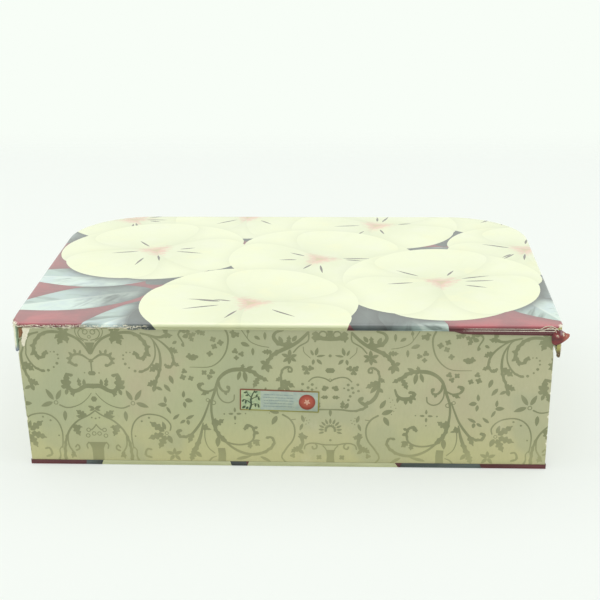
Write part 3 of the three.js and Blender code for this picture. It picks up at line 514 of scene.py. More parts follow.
# Wear of the papers: how bare they are, from 0 to 1, and how far that reaches
WORN_FOLD = 0.53
WORN_FOLD_START = 0.1
WORN_FOLD_REACH = 1.3
WORN_BEHIND = 0.4
WORN_LINE = 0.05
WORN_CREASE = 0.95
WORN_CORNER = 0.66
WORN_CORNER_START = 1
WORN_CORNER_REACH = 8
WORN_FOOT = 0.36
WORN_FOOT_REACH = 1
WORN_WRAP = 0.8
WORN_WRAP_START = 0.3
WORN_WRAP_REACH = 1.2

# Boards and liners that are copied from the frame, and where they are cut so that they bend
BOARDS = {
    "greyboard": ("base_floor_board", "base_wall_board", "base_back_board", "lid_board", "lid_rim_board"),
    "liner_paper": ("base_floor_liner", "base_wall_liner", "lid_liner"),
}
BOARD_SIDE_CUTS = (2, 6, 10, 14, 18, 26, 36, 50, 70, 100)
BOARD_HEIGHT_CUTS = (PRESSED_LOW, PRESSED_LOW + 1, PRESSED_HIGH - 1, PRESSED_HIGH, LEAN_HEIGHT)
BOARD_REAR_CUTS = (2, 4, 8, 12, 17, 26, 40, 55, 70, 85, 100, 115, 130, 145)

# Inner hinge paper, and the ends of the lid's rim as shares of half the rim's thickness
INNER_BEND = 0.5
INNER_COLUMNS = 24
RIM_END_SHARES = (-1.4, -0.7, 0, 0.5, 1)
RIM_END_STEP = 2

# Stage, in metres but for the floor's half width: lamps as place, aim, size and power
FLOOR_HALF = 6000
FLOOR_DROP = 0.0002
FLOOR_BACK = (0.84, 0.62)
FLOOR_SEEN = (0.7, 1.0)
TENT_LIGHT = (0.97, 1.0, 0.965, 1)
TENT_POWER = 0.55
LAMPS = (
    ("soft_top", (0.0, 0.2, 1.7), (0, 0, 0), 2.4, 17),
    ("soft_front", (-0.3, -2.0, 0.9), (0, 0, 0.05), 2.0, 10),
    ("soft_left", (-1.8, 0.0, 0.8), (0, 0, 0.05), 1.6, 11),
    ("soft_right", (1.8, 0.0, 0.8), (0, 0, 0.05), 1.6, 11),
)
CAMERA_PLACE = (0.0422, -0.7987, 0.3651)
CAMERA_TURNS = (radians(20.34), radians(-2.65), radians(-0.64))
CAMERA_LENS = 75.29

# Where the materials change: heights on the walls, and places on the torn flap and the rim's ends
# Heights of the painted floor light low on the walls and of the painted shade high on them
GROUND_LIT_FOOT_TOP = 45
GROUND_SHADED_HEAD = (60, 93)
INK_LIT_FOOT_TOP = 30
# The flap's tip is painted paler as painted light; its back is greyer
FLAP_LIT_TIP = (163, 167.2)
FLAP_BACK_HEIGHT = (88, 89.6)
FLAP_BACK_START = (162.2, 163.6)
RIM_END_SIDES = (-10, 10)
RIM_END_UNEVEN = 1.6
RIM_END_PRINT = (160.6, 161.2)
RIM_END_FOOT = (80.5, 76.5)
# The same on the label, from its middle
RULED_MIDDLE = -0.6
RULED_END = (9.4, 8.6)
RULED_TOP = (5, 4.6)
TWIG_FIELD = (-11.2, -11.6)
DISC_MIDDLE = (16.7, -0.3)
DISC_SHADE = (2.4, 4.8)
DISC_PETALS = 5
DISC_STAR = (1.7, 1.3)
DISC_EDGE = (5.15, 4.9)
LABEL_BORDER = (0.85, 0.65)


# Materials
def tone(code):
    """Blender's linear colour from a screen colour in hexadecimal."""
    parts = [int(code[place:place + 2], 16) / 255 for place in (0, 2, 4)]
    linear = [part / 12.92 if part <= 0.04045 else ((part + 0.055) / 1.055) ** 2.4 for part in parts]
    return (*linear, 1.0)


def chosen(name):
    """A colour from the panel."""
    return (*getattr(bpy.context.scene.box_colours, name), 1.0)


def metres(*lengths):
    """Millimetres turned to the metres of the materials' coordinates."""
    return [length * MM for length in lengths]


class Link:
    """A node's output. Arithmetic on it adds Math nodes."""

    def __init__(self, paint, socket):
        self.paint = paint
        self.socket = socket

    def __add__(self, other):
        return self.paint.math("ADD", self, other)

    def __sub__(self, other):
        return self.paint.math("SUBTRACT", self, other)

    def __rsub__(self, other):
        return self.paint.math("SUBTRACT", other, self)

    def __mul__(self, other):
        return self.paint.math("MULTIPLY", self, other)

    def __truediv__(self, other):
        return self.paint.math("DIVIDE", self, other)

    def __abs__(self):
        return self.paint.math("ABSOLUTE", self)

    __radd__ = __add__
    __rmul__ = __mul__

    def least(self, other):
        return self.paint.math("MINIMUM", self, other)

    def most(self, other):
        return self.paint.math("MAXIMUM", self, other)

    def rises(self, low, high):
        """0 below low, 1 above high, smooth between. It falls where low is above high."""
        ends = (low, high, 0.0, 1.0) if low < high else (high, low, 1.0, 0.0)
        return self.paint.node("ShaderNodeMapRange", {"interpolation_type": "SMOOTHSTEP"}, [self, *ends])


class Nodes:
    """A node tree under construction."""

    def __init__(self, tree):
        self.tree = tree

    def put(self, socket, value):
        """Links a socket, or sets its value."""
        if isinstance(value, Link):
            self.tree.links.new(value.socket, socket)
        else:
            socket.default_value = value

    def node(self, kind, settings=None, inputs=(), output=0):
        """Adds a node: its settings first, then the values or links of its sockets."""
        made = self.tree.nodes.new(kind)
        for name, value in (settings or {}).items():
            setattr(made, name, value)
        for key, value in inputs.items() if isinstance(inputs, dict) else enumerate(inputs):
            self.put(made.inputs[key], value)
        return Link(self, made.outputs[output]) if len(made.outputs) else None

    def outputs(self, link, keys):
        """Other outputs of the node that a link comes from."""
        return [Link(self, link.socket.node.outputs[key]) for key in keys]

    def math(self, operation, *values):
        return self.node("ShaderNodeMath", {"operation": operation}, values)

    def vector(self, operation, *values, output=0):
        return self.node("ShaderNodeVectorMath", {"operation": operation}, values, output)

    def point(self, x, y, z):
        return self.node("ShaderNodeCombineXYZ", {}, [x, y, z])

    def moved(self, vector, offset=(0, 0, 0), turn=(0, 0, 0), scale=(1, 1, 1)):
        return self.node("ShaderNodeMapping", {}, [vector, offset, turn, scale])

    def split(self, vector):
        return self.outputs(self.node("ShaderNodeSeparateXYZ", {}, [vector]), range(3))

    def noise(self, vector, scale, detail=3.0, roughness=0.5, distortion=0.0):
        inputs = {"Vector": vector, "Scale": scale, "Detail": detail, "Roughness": roughness,
                  "Distortion": distortion}
        return self.node("ShaderNodeTexNoise", {}, inputs)

    def mix(self, share, first, second):
        settings = {"data_type": "RGBA"}
        return self.node("ShaderNodeMix", settings, {0: share, 6: first, 7: second}, output=2)

    def bump(self, height, strength, distance):
        """A bump of at most a distance in millimetres."""
        inputs = {"Strength": strength, "Distance": distance * MM, "Height": height}
        return self.node("ShaderNodeBump", {}, inputs)


class Paint(Nodes):
    """A material under construction."""

    def __init__(self, name):
        self.material = bpy.data.materials.new(name)
        self.material.use_nodes = True
        super().__init__(self.material.node_tree)
        self.shader = self.tree.nodes["Principled BSDF"]
        self.colour = None

    def place(self):
        """Object coordinates, in metres."""
        return self.node("ShaderNodeTexCoord", output=3)

    def spot(self):
        """The piece's own flat coordinates, in millimetres of paper."""
        flat = self.node("ShaderNodeUVMap", {"uv_map": "flat"})
        return self.vector("SCALE", flat, (0, 0, 0), (0, 0, 0), 1 / MM)

    def attribute(self, name, output=2):
        """A value that the mesh carries: 1 gives it as a vector, 2 as a number."""
        return self.node("ShaderNodeAttribute", {"attribute_name": name}, output=output)

    def over(self, share, top):
        """Lays a colour, or one given in hexadecimal, over the colours so far."""
        self.colour = self.mix(share, self.colour, tone(top) if isinstance(top, str) else top)

    def set(self, **values):
        """Sets or links the shader's base colour and its other sockets, named with _ for a space."""
        for name, value in {"Base_Color": self.colour, **values}.items():
            self.put(self.shader.inputs[name.replace("_", " ")], value)
        return self.material


def scroll_paper(name, printed):
    """The scrollwork paper: its olive ground, or the ink of the scrolls, lighter low on the walls as painted
    light from the floor and duller high on them as painted shade.
    """
    paint = Paint(name)
    place = paint.place()
    clouds = paint.noise(place, 9.0, 3.0, 0.55)
    blotches = paint.noise(place, 34.0, 4.0, 0.6)
    fibres = paint.noise(paint.moved(place, scale=(1, 1, 0.35)), 900.0, 3.0, 0.6)
    paint.colour = paint.mix(clouds.rises(0.38, 0.66), chosen("scroll_green"), chosen("scroll_warm"))
    height = paint.split(place)[2]
    # Painted light: lighter and yellower low on the walls, lit from the white floor. Painted shade: duller
    # high on the walls
    paint.over(height.rises(*metres(GROUND_LIT_FOOT_TOP, 0)) * 0.75, chosen("scroll_floor_light"))
    paint.over(height.rises(*metres(*GROUND_SHADED_HEAD)) * 0.5, chosen("scroll_head_shade"))
    patches = paint.noise(paint.moved(place, (0.31, 0.17, 0.53)), 21.0, 2.0, 0.5)
    paint.over(patches.rises(0.56, 0.72) * 0.35, "b3a58a")
    paint.over(patches.rises(0.42, 0.28) * 0.45, "a4a88a")
    if printed:
        paint.over(0.9 - 0.24 * blotches.rises(0.35, 0.75), chosen("scroll_ink"))
        # Painted floor light on the ink low on the walls
        paint.over(height.rises(*metres(INK_LIT_FOOT_TOP, 0)) * 0.35, chosen("scroll_floor_light"))
    paint.over(blotches.rises(0.62, 0.8) * 0.18, chosen("paper_core"))
    paint.over(fibres.rises(0.35, 0.75) * 0.1, "8f9070")
    rub = paint.noise(place, 210.0, 4.0, 0.65)
    worn = paint.attribute("worn")
    paint.over((rub + worn * 0.22).rises(0.74, 0.8), chosen("paper_core"))
    bump = paint.bump(fibres + blotches * 0.6, 0.25, 0.06)
    return paint.set(Roughness=0.52 + 0.12 * fibres, Normal=bump, Specular_IOR_Level=0.4)


def torn_paper():
    """White core of torn paper."""
    paint = Paint("torn_paper_core")
    place = paint.place()
    fibres = paint.noise(place, 1600.0, 4.0, 0.7)
    paint.colour = paint.mix(fibres.rises(0.3, 0.72), chosen("paper_core"), tone("d6cfb2"))
    return paint.set(Roughness=0.9, Normal=paint.bump(fibres, 0.6, 0.1))


def torn_print():
    """The crimson side of a torn flap, painted darker than the print as painted shade: greyer where its back
    shows, paler at its tip as painted light, and flecked white where its core shows and as painted highlight.
    """
    paint = Paint("torn_crimson")
    place = paint.place()
    clouds = paint.noise(place, 300.0, 4.0, 0.6)
    fibres = paint.noise(place, 900.0, 3.0, 0.6)
    x, _y, height = paint.split(place)
    tip = x.rises(*metres(*FLAP_LIT_TIP))
    back = height.rises(*metres(*FLAP_BACK_HEIGHT)) * x.rises(*metres(*FLAP_BACK_START))
    # Darker than the print's crimson: painted shade on the hanging flap
    paint.colour = paint.mix(clouds.rises(0.35, 0.65), tone("4a1216"), tone("7a2426"))
    paint.over(back * (1 - tip) * 0.6, "a18f98")
    # Paler tip: painted light where the flap curls out
    paint.over(tip * 0.85, "b0604e")
    # White flecks: worn core, and painted highlight
    paint.over(clouds.rises(0.62, 0.68) * fibres.rises(0.4, 0.5), "d8cbb4")
    rough = 0.5 + 0.3 * clouds
    return paint.set(Roughness=rough, Normal=paint.bump(fibres, 0.4, 0.1), Coat_Weight=0.4)


def greyboard():
    """Brown-grey board with fibres and flecks."""
    paint = Paint("greyboard_fibre")
    place = paint.place()
    fibres = paint.noise(paint.moved(place, scale=(1, 1, 3)), 420.0, 5.0, 0.65)
    flecks = paint.noise(place, 1100.0, 2.0, 0.5)
    paint.colour = paint.mix(fibres.rises(0.3, 0.7), chosen("board_dark"), chosen("board_light"))
    paint.over(flecks.rises(0.62, 0.72) * 0.6, "c4ab86")
    paint.over(flecks.rises(0.36, 0.28) * 0.5, "5a3a2c")
    return paint.set(Roughness=0.95, Normal=paint.bump(fibres, 0.5, 0.2))


def plain_paper(name, light, dark):
    """Plain inner paper, a little yellowed, with fibres and faint marks."""
    paint = Paint(name)
    place = paint.place()
    clouds = paint.noise(place, 14.0, 4.0, 0.6)
    fibres = paint.noise(place, 1300.0, 3.0, 0.6)
    specks = paint.noise(place, 420.0, 2.0, 0.5)
    paint.colour = paint.mix(clouds.rises(0.32, 0.72), light, dark)
    paint.over(specks.rises(0.7, 0.76) * 0.35, "a08e66")
    bump = paint.bump(fibres + clouds * 0.4, 0.3, 0.08)
    return paint.set(Roughness=0.78 + 0.1 * fibres, Normal=bump)


def brass():
    """Brass-plated steel with fine scratches and dull patches."""
    paint = Paint("brass_plated")
    place = paint.place()
    patches = paint.noise(place, 160.0, 4.0, 0.6)
    scratches = paint.noise(paint.moved(place, scale=(1, 1, 12)), 620.0, 3.0, 0.7)
    spots = paint.noise(place, 700.0, 3.0, 0.6)
    paint.colour = paint.mix(patches.rises(0.35, 0.7), chosen("brass_bright"), chosen("brass_dull"))
    paint.over(spots.rises(0.64, 0.76) * 0.5, "8a7044")
    rough = 0.24 + 0.22 * patches.rises(0.4, 0.75) + 0.12 * scratches.rises(0.5, 0.8)
    bump = paint.bump(scratches + spots * 0.5, 0.16, 0.05)
    return paint.set(Metallic=1.0, Roughness=rough, Normal=bump)


def leatherette():
    """Brown grained leatherette."""
    paint = Paint("leatherette_brown")
    place = paint.place()
    settings = {"feature": "DISTANCE_TO_EDGE"}
    cells = paint.node("ShaderNodeTexVoronoi", settings, {"Vector": place, "Scale": 950.0})
    clouds = paint.noise(place, 130.0, 3.0, 0.6)
    valley = cells.rises(0.16, 0.02)
    paint.colour = paint.mix(clouds.rises(0.35, 0.7), chosen("leather_dark"), chosen("leather_light"))
    paint.over(valley * 0.6, "2e1a12")
    bump = paint.bump(cells.rises(0.0, 0.22), 0.5, 0.12)
    return paint.set(Roughness=0.42 + 0.2 * valley, Normal=bump)


def thread():
    """Waxed thread of the grip's seam."""
    paint = Paint("thread_waxed")
    twist = paint.noise(paint.moved(paint.place(), scale=(1, 3, 3)), 1500.0, 2.0, 0.5)
    paint.colour = paint.mix(twist.rises(0.35, 0.7), tone("b59a72"), tone("8c7250"))
    return paint.set(Roughness=0.7, Normal=paint.bump(twist, 0.4, 0.1))


def label_paper(printed):
    """A small bordered label: a pale field, a ruled field and a rust-coloured disc, or the twig's ink."""
    paint = Paint("label_twig" if printed else "label_print")
    spot = paint.spot()
    x, y, _z = paint.split(spot)
    grain = paint.noise(spot, 2.2, 4.0, 0.65)
    clouds = paint.noise(spot, 0.3, 3.0, 0.6)
    rough = 0.45 + 0.2 * grain
    if printed:
        paint.colour = paint.mix(clouds.rises(0.35, 0.7), tone("33452f"), tone("566040"))
        return paint.set(Roughness=rough)
    paint.colour = paint.mix(clouds.rises(0.35, 0.7), tone("9caaa0"), tone("acb6a4"))
    rows = paint.math("SINE", y * 3.3 + 1.5)
    broken = paint.noise(paint.moved(spot, scale=(1, 0.3, 1)), 1.9, 3.0, 0.6)
    ends = abs(x - RULED_MIDDLE) + paint.math("SINE", y * 1.7) * 1.6
    inside = ends.rises(*RULED_END) * abs(y).rises(*RULED_TOP)
    paint.over(rows.rises(0.3, 0.95) * inside * broken.rises(0.38, 0.5) * 0.6, "5d6c70")
    green = paint.mix(clouds.rises(0.4, 0.6), tone("94a884"), tone("adb890"))
    paint.over(x.rises(*TWIG_FIELD), green)
    away = paint.vector("LENGTH", paint.vector("SUBTRACT", spot, (*DISC_MIDDLE, 0)), output=1)
    disc = paint.mix((away + (grain - 0.5) * 1.6).rises(*DISC_SHADE), tone("a8503e"), tone("8e3a2c"))
    turn = paint.math("ARCTAN2", y - DISC_MIDDLE[1], x - DISC_MIDDLE[0])
    petals = paint.math("SINE", turn * DISC_PETALS) * 0.5
    disc = paint.mix((away + petals).rises(*DISC_STAR) * 0.7, disc, tone("d8b09a"))
    paint.over(away.rises(*DISC_EDGE), disc)
    sides = (abs(x).rises(*(LABEL_WIDTH / 2 - inset for inset in LABEL_BORDER)),
             abs(y).rises(*(LABEL_HEIGHT / 2 - inset for inset in LABEL_BORDER)))
    border = paint.mix((y * 1.6 - x * 0.5).rises(-3.0, 5.0), tone("8c8a44"), tone("7d4a34"))
    paint.over(sides[0].most(sides[1]), border)
    paint.over(grain.rises(0.62, 0.8) * 0.3, "d8d6c0")
    return paint.set(Roughness=rough, Normal=paint.bump(grain, 0.2, 0.05))


def rim_end_paper():
    """Printed paper folded over the ends of the lid's rim: pale outside, grey-green inside, worn."""
    paint = Paint("rim_end_print")
    place = paint.place()
    x, _y, height = paint.split(place)
    clouds = paint.noise(place, 260.0, 4.0, 0.6)
    fibres = paint.noise(place, 1500.0, 4.0, 0.7)
    right = x.rises(*metres(*RIM_END_SIDES))
    uneven = (clouds - 0.5) * (RIM_END_UNEVEN * MM)
    edge = (abs(x - LID_SIDEWAYS * MM) + uneven).rises(*metres(*RIM_END_PRINT))
    paint.colour = paint.mix(edge, tone("7f9277"), tone("dfe0c6"))
    paint.over(right, "a5a05c")
    foot = paint.mix(right, tone("77808c"), tone("5c4a2e"))
    paint.over(height.rises(*metres(*RIM_END_FOOT)), foot)
    paint.over(fibres.rises(0.6, 0.72) * 0.5, chosen("paper_core"))
    paint.over(clouds.rises(0.45, 0.3) * 0.4, "566a50")
    return paint.set(Roughness=0.6, Normal=paint.bump(fibres, 0.4, 0.1))


class PrintPaint(Paint):
    """Glossy printed paper. The mesh carries each leaf's root and tip, the shade, the wear, and the soiling
    and painted shade of turned-down edges.
    """

    def __init__(self, name):
        super().__init__(name)
        self.flat = self.spot()
        root_x, root_y, half_width = self.split(self.attribute("leaf_root", 1))
        root = self.point(root_x, root_y, 0.0)
        tip_x, tip_y, self.chance = self.split(self.attribute("leaf_tip", 1))
        away = self.vector("SUBTRACT", self.flat, root)
        axis = self.vector("SUBTRACT", self.point(tip_x, tip_y, 0.0), root)
        self.reach = self.vector("LENGTH", axis, output=1)
        ahead = self.vector("NORMALIZE", axis)
        self.along = self.vector("DOT_PRODUCT", away, ahead, output=1) / self.reach
        self.across = self.split(self.vector("CROSS_PRODUCT", ahead, away))[2] / half_width
        self.shade = self.attribute("shade")
        self.worn = self.attribute("worn")
        # Painted shade, and some soiling, where the paper turns down over edges
        self.soil_and_shade = self.attribute("soil_and_shade")

    def finished(self):
        """Wear and gloss over the print."""
        rub = self.noise(self.flat, 1.1, 4.0, 0.7)
        grain = self.noise(self.flat, 0.35, 3.0, 0.6)
        bare = (rub * 0.9 + self.worn).rises(0.98, 1.06)
        self.over(bare, chosen("paper_core"))
        waves = self.noise(self.flat, 0.012, 2.0, 0.5)
        bump = self.bump(waves * 3 + grain * 0.02 - bare * 0.1, 0.35, 0.4)
        scuffs = self.noise(self.moved(self.flat, scale=(0.2, 1, 1)), 0.6, 5.0, 0.75)
        return self.set(
            Roughness=0.42 + 0.3 * bare, Normal=bump, Coat_Normal=bump, Coat_IOR=1.85,
            # Less coat where the edges are painted shaded
            Coat_Weight=(1.0 - 0.9 * bare - 0.8 * self.soil_and_shade).most(0.0),
            Coat_Roughness=0.14 + 0.14 * scuffs.rises(0.45, 0.8))


def print_ground():
    """Crimson ground of the print."""
    paint = PrintPaint("print_crimson")
    clouds = paint.noise(paint.flat, 0.035, 4.0, 0.6, 0.6)
    strokes = paint.noise(paint.moved(paint.flat, turn=(0, 0, 0.3), scale=(0.2, 1, 1)), 0.4, 4.0, 0.65)
    paint.colour = paint.mix(clouds.rises(0.35, 0.68), chosen("print_crimson"), chosen("print_rose"))
    paint.over(strokes.rises(0.5, 0.75) * 0.4, "b84a50")
    paint.over(paint.shade * 0.5, "3a181c")
    # Painted shade, and some soiling, over the rear edge, the crease and the strip below it, and round the
    # foot
    paint.over(paint.soil_and_shade * 0.85, "3a080e")
    return paint.finished()


def print_petal():
    """Cream petals with a pink heart."""
    paint = PrintPaint("print_petal")
    ray = paint.across / (paint.along + 0.22)
    veins = paint.noise(paint.point(ray * 4.5, paint.along * 1.6, paint.chance * 40), 1.0, 5.0, 0.6)
    clouds = paint.noise(paint.flat, 0.04, 3.0, 0.55)
    paint.colour = paint.mix(paint.along.rises(0.1, 0.8), chosen("print_cream"), chosen("print_pale"))
    paint.over(veins.rises(0.5, 0.75) * 0.2, "d6dcb4")
    paint.over(clouds.rises(0.45, 0.72) * 0.5, "e6e9cd")
    paint.over(clouds.rises(0.46, 0.3) * 0.4, "ecebb8")
    reach = paint.along * paint.reach
    speckle = paint.noise(paint.moved(paint.flat, scale=(0.5, 1, 1)), 0.45, 4.0, 0.7)
    blush = (reach + (speckle - 0.5) * 17.0).rises(10.5, 2.0)
    paint.over(blush * 0.62, "e0938c")
    paint.over(reach.rises(3.4, 1.0) * 0.5, "b8b878")
    paint.over(paint.shade * 0.2, "a9b088")
    # Painted shade, and some soiling, darker olive over the rear edge and the crease
    paint.over(paint.soil_and_shade * (0.66 + 0.4 * clouds), "a8ab80")
    return paint.finished()


def print_leaf():
    """Pale mint leaves with dark ribs and deep shadows."""
    paint = PrintPaint("print_leaf")
    side = abs(paint.across)
    clouds = paint.noise(paint.flat, 0.06, 4.0, 0.6)
    turned = paint.across.rises(-0.05, 0.05)
    rib = paint.point(paint.along * 7.0 - side * 1.9, side * 0.8, paint.chance * 30 + turned * 7)
    ribs = paint.noise(rib, 1.0, 3.0, 0.55, 0.3)
    paint.colour = paint.mix(turned, tone("a9bfb6"), tone("cfe2d6"))
    paint.over(clouds.rises(0.4, 0.7) * 0.6, "b4c6d2")
    paint.over(ribs.rises(0.5, 0.66) * side.rises(0.02, 0.2) * 0.75, "76867e")
    paint.over(ribs.rises(0.6, 0.7) * 0.7, "4c5a54")
    paint.over(side.rises(0.07, 0.02) * 0.5, "dfeade")
    paint.over(side.rises(0.8, 1.02) * 0.5, "4a5650")
    root = paint.along.rises(0.75, 0.2) * 0.55
    dark = (paint.chance + root + (clouds - 0.5) * 0.5).rises(0.3, 0.95)
    paint.over(dark * 0.92, "323c3a")
    paint.over((paint.shade * 1.2).least(1.0) * 0.85, "1c2220")
    return paint.finished()


def print_stamen():
    """Dark stamens."""
    paint = PrintPaint("print_stamen")
    clouds = paint.noise(paint.flat, 0.5, 3.0, 0.6)
    paint.colour = paint.mix(clouds.rises(0.4, 0.7), tone("3c3a34"), tone("6b5648"))
    return paint.finished()


# Meshes
class Plan:
    """A closed plan with two rear and two front corners, walked by length from mid-back to the right."""

    def __init__(self, half, back, front, rear_radius, front_radius):
        side = front - back - rear_radius - front_radius
        self.parts = []
        self._line((0, back), (1, 0), half - rear_radius)
        self._arc((half - rear_radius, back + rear_radius), rear_radius, -pi / 2)
        self._line((half, back + rear_radius), (0, 1), side)
        self._arc((half - front_radius, front - front_radius), front_radius, 0)
        self._line((half - front_radius, front), (-1, 0), 2 * (half - front_radius))
        self._arc((front_radius - half, front - front_radius), front_radius, pi / 2)
        self._line((-half, front - front_radius), (0, -1), side)
        self._arc((rear_radius - half, back + rear_radius), rear_radius, pi)
        self._line((rear_radius - half, back), (1, 0), half - rear_radius)
        self.length = sum(part[1] for part in self.parts)

    def _line(self, start, along, length):
        self.parts.append(("line", length, start, along))

    def _arc(self, centre, radius, start_angle):
        self.parts.append(("arc", radius * pi / 2, centre, (radius, start_angle)))

    def at(self, walked):
        """Point and outward normal at a length along the plan."""
        left = walked % self.length
        for kind, length, first, second in self.parts:
            if left <= length:
                break
            left -= length
        if kind == "line":
            along = second
            point = (first[0] + along[0] * left, first[1] + along[1] * left)
            normal = (along[1], -along[0])
        else:
            radius, start_angle = second
            angle = start_angle + left / radius
            normal = (cos(angle), sin(angle))
            point = (first[0] + radius * normal[0], first[1] + radius * normal[1])
        return point, normal

    def cuts(self, steps_by_radius):
        """Lengths where round corners start, end and are cut."""
        found = []
        walked = 0.0
        for kind, length, _first, second in self.parts:
            if kind == "arc":
                steps = steps_by_radius(second[0])
                found.extend(walked + length * step / steps for step in range(steps + 1))
            walked += length
        return found


def path_points(points, step):
    """A smooth curve through points, cut about every step."""
    vectors = [Vector(point) for point in points]
    before = [2 * vectors[0] - vectors[1], *vectors, 2 * vectors[-1] - vectors[-2]]
    made = []
    for index in range(1, len(before) - 2):
        first, second, third, fourth = before[index - 1:index + 3]
        cuts = max(2, ceil((third - second).length / step))
        for cut in range(cuts):
            share = cut / cuts
            made.append(0.5 * (2 * second + (third - first) * share
                               + (2 * first - 5 * second + 4 * third - fourth) * share ** 2
                               + (3 * second - first - 3 * third + fourth) * share ** 3))
    made.append(vectors[-1])
    return made


def stem_shapes(stem):
    """A stem as short quads, with round ends."""
    start, middle, end, points = stem
    line = path_points(points, STEM_STEP)
    last = len(line) - 1
    left = []
    right = []
    for index, point in enumerate(line):
        share = index / last
        width = start + (middle - start) * 2 * share
        if share >= 0.5:
            width = middle + (end - middle) * (2 * share - 1)
        along = (line[min(index + 1, last)] - line[max(index - 1, 0)]).normalized()
        across = Vector((-along.y, along.x)) * width / 2
        bumped = width > BUMPED_FROM and share > BUMPED_SHARE
        bump = 2 * BUMP_SHARE * sin(2 * pi * index / 3) if bumped else 0
        left.append(point + across * (1 + max(bump, 0)))
        right.append(point - across * (1 + max(-bump, 0)))
    for index in range(last):
        yield [right[index], right[index + 1], left[index + 1], left[index]]
    for point, width in ((line[0], start), (line[-1], end)):
        yield from dot_shapes((*point, width / 2))


def leaf_shapes(leaf):
    """A leaf from root to tip, with pointed ends and lobed sides."""
    root = Vector(leaf[0:2])
    tip = Vector(leaf[2:4])
    width, lobes = leaf[4:6]
    along = tip - root
    across = Vector((-along.y, along.x)).normalized()
    steps = LEAF_STEPS * max(1, lobes) + 2

    def side(share):
        swell = sin(pi * share ** 0.85) ** 0.8
        notch = 0.34 + 0.74 * abs(sin(pi * (lobes + 0.5) * share ** 1.1)) ** 0.7 if lobes else 1.0
        return swell * notch * width / 2

    shares = [step / steps for step in range(1, steps)]
    outline = [root]
    outline.extend(root + along * share - across * side(share) for share in shares)
    outline.append(tip)
    outline.extend(root + along * share + across * side(share) for share in reversed(shares))
    yield outline


def dot_shapes(dot):
    """A round dot, or a blob with three or four lobes where it is big."""
    x, z, radius = dot
    lobed = radius > LOBED_FROM
    sides = 2 * DOT_SIDES if lobed else DOT_SIDES
    lobes = 3 + round(x + z) % 2
    outline = []
    for side in range(sides):
        angle = 2 * pi * side / sides
        reach = radius * (0.58 + 0.56 * abs(cos(lobes * angle / 2))) if lobed else radius
        outline.append(Vector((x + reach * cos(angle + x), z + reach * sin(angle + x))))
    yield outline


def ring_shapes(ring):
    """A ring as short quads."""
    x, z, radius, width = ring
    turn = 2 * pi / DOT_SIDES
    for side in range(DOT_SIDES):
        corners = []
        for angle, reach in ((side, radius + width / 2), (side + 1, radius + width / 2),
                             (side + 1, radius - width / 2), (side, radius - width / 2)):
            corners.append(Vector((x + reach * cos(turn * angle), z + reach * sin(turn * angle))))
        yield corners


def fan_leaves():
    """Two rows of rays, the inner row between the outer ones."""
    for row, (inner, outer) in enumerate(((FAN_INNER, FAN_OUTER * FAN_GAP_SHARE),
                                          (FAN_OUTER * FAN_GAP_SHARE, FAN_OUTER))):
        for ray in range(FAN_RAYS - 1 + row):
            angle = pi / 2 - FAN_SPREAD / 2 + FAN_SPREAD * (ray + 0.5 - row / 2) / (FAN_RAYS - 1)
            low = 0.86 + 0.14 * abs(sin(angle))
            yield (inner * low * cos(angle), FAN_HEIGHT + inner * low * sin(angle),
                   outer * low * cos(angle), FAN_HEIGHT + outer * low * sin(angle), FAN_RAY_WIDTH, 0)


def scroll_shapes(first_line):
    """All shapes about one kind of mirror line, as outlines of distance and height."""
    groups = ((STEMS_AT_FIRST, LEAVES_AT_FIRST, DOTS_AT_FIRST, RINGS_AT_FIRST)
              if first_line else (STEMS_AT_SECOND, LEAVES_AT_SECOND, DOTS_AT_SECOND, RINGS_AT_SECOND))
    found = []
    for group, shapes in zip(groups, (stem_shapes, leaf_shapes, dot_shapes, ring_shapes)):
        for drawn in group:
            found.extend(shapes(drawn))
    solids = SHAPES_AT_FIRST if first_line else SHAPES_AT_SECOND
    found.extend([Vector(point) for point in shape] for shape in solids)
    if not first_line:
        for leaf in fan_leaves():
            found.extend(leaf_shapes(leaf))
    return found


def turned_left(outline):
    """The outline with its inside on the left."""
    area = 0.0
    for index, point in enumerate(outline):
        following = outline[(index + 1) % len(outline)]
        area += point.x * following.y - following.x * point.y
    return outline if area > 0 else outline[::-1]


def cut_sheet(outlines, lines=(), spots=()):
    """Cuts the first outline along the others and lines: points, triangles and each one's top outline."""
    points = []
    faces = []
    edges = []
    for outline in outlines:
        faces.append(list(range(len(points), len(points) + len(outline))))
        points.extend(turned_left(outline))
    for line in lines:
        first = len(points)
        points.extend(line)
        edges.extend((first + index, first + index + 1) for index in range(len(line) - 1))
    points.extend(spots)
    cut = delaunay_2d_cdt(points, edges, faces, 1, MERGE_PRINT)
    flat, _edges, triangles, _points, _from_edges, sources = cut
    kept = []
    tops = []
    for triangle, source in zip(triangles, sources):
        if 0 in source:
            kept.append(triangle)
            tops.append(max(source))
    return flat, kept, tops


def ragged(outline, chance):
    """The outline with torn, uneven edges."""
    made = []
    for index, corner in enumerate(outline):
        start = Vector(corner)
        end = Vector(outline[(index + 1) % len(outline)])
        steps = max(1, round((end - start).length / RAGGED_STEP))
        for step in range(steps):
            off = Vector((chance.uniform(-1, 1), chance.uniform(-1, 1))) * RAGGED_SIZE
            made.append(start.lerp(end, step / steps) + off)
    return made


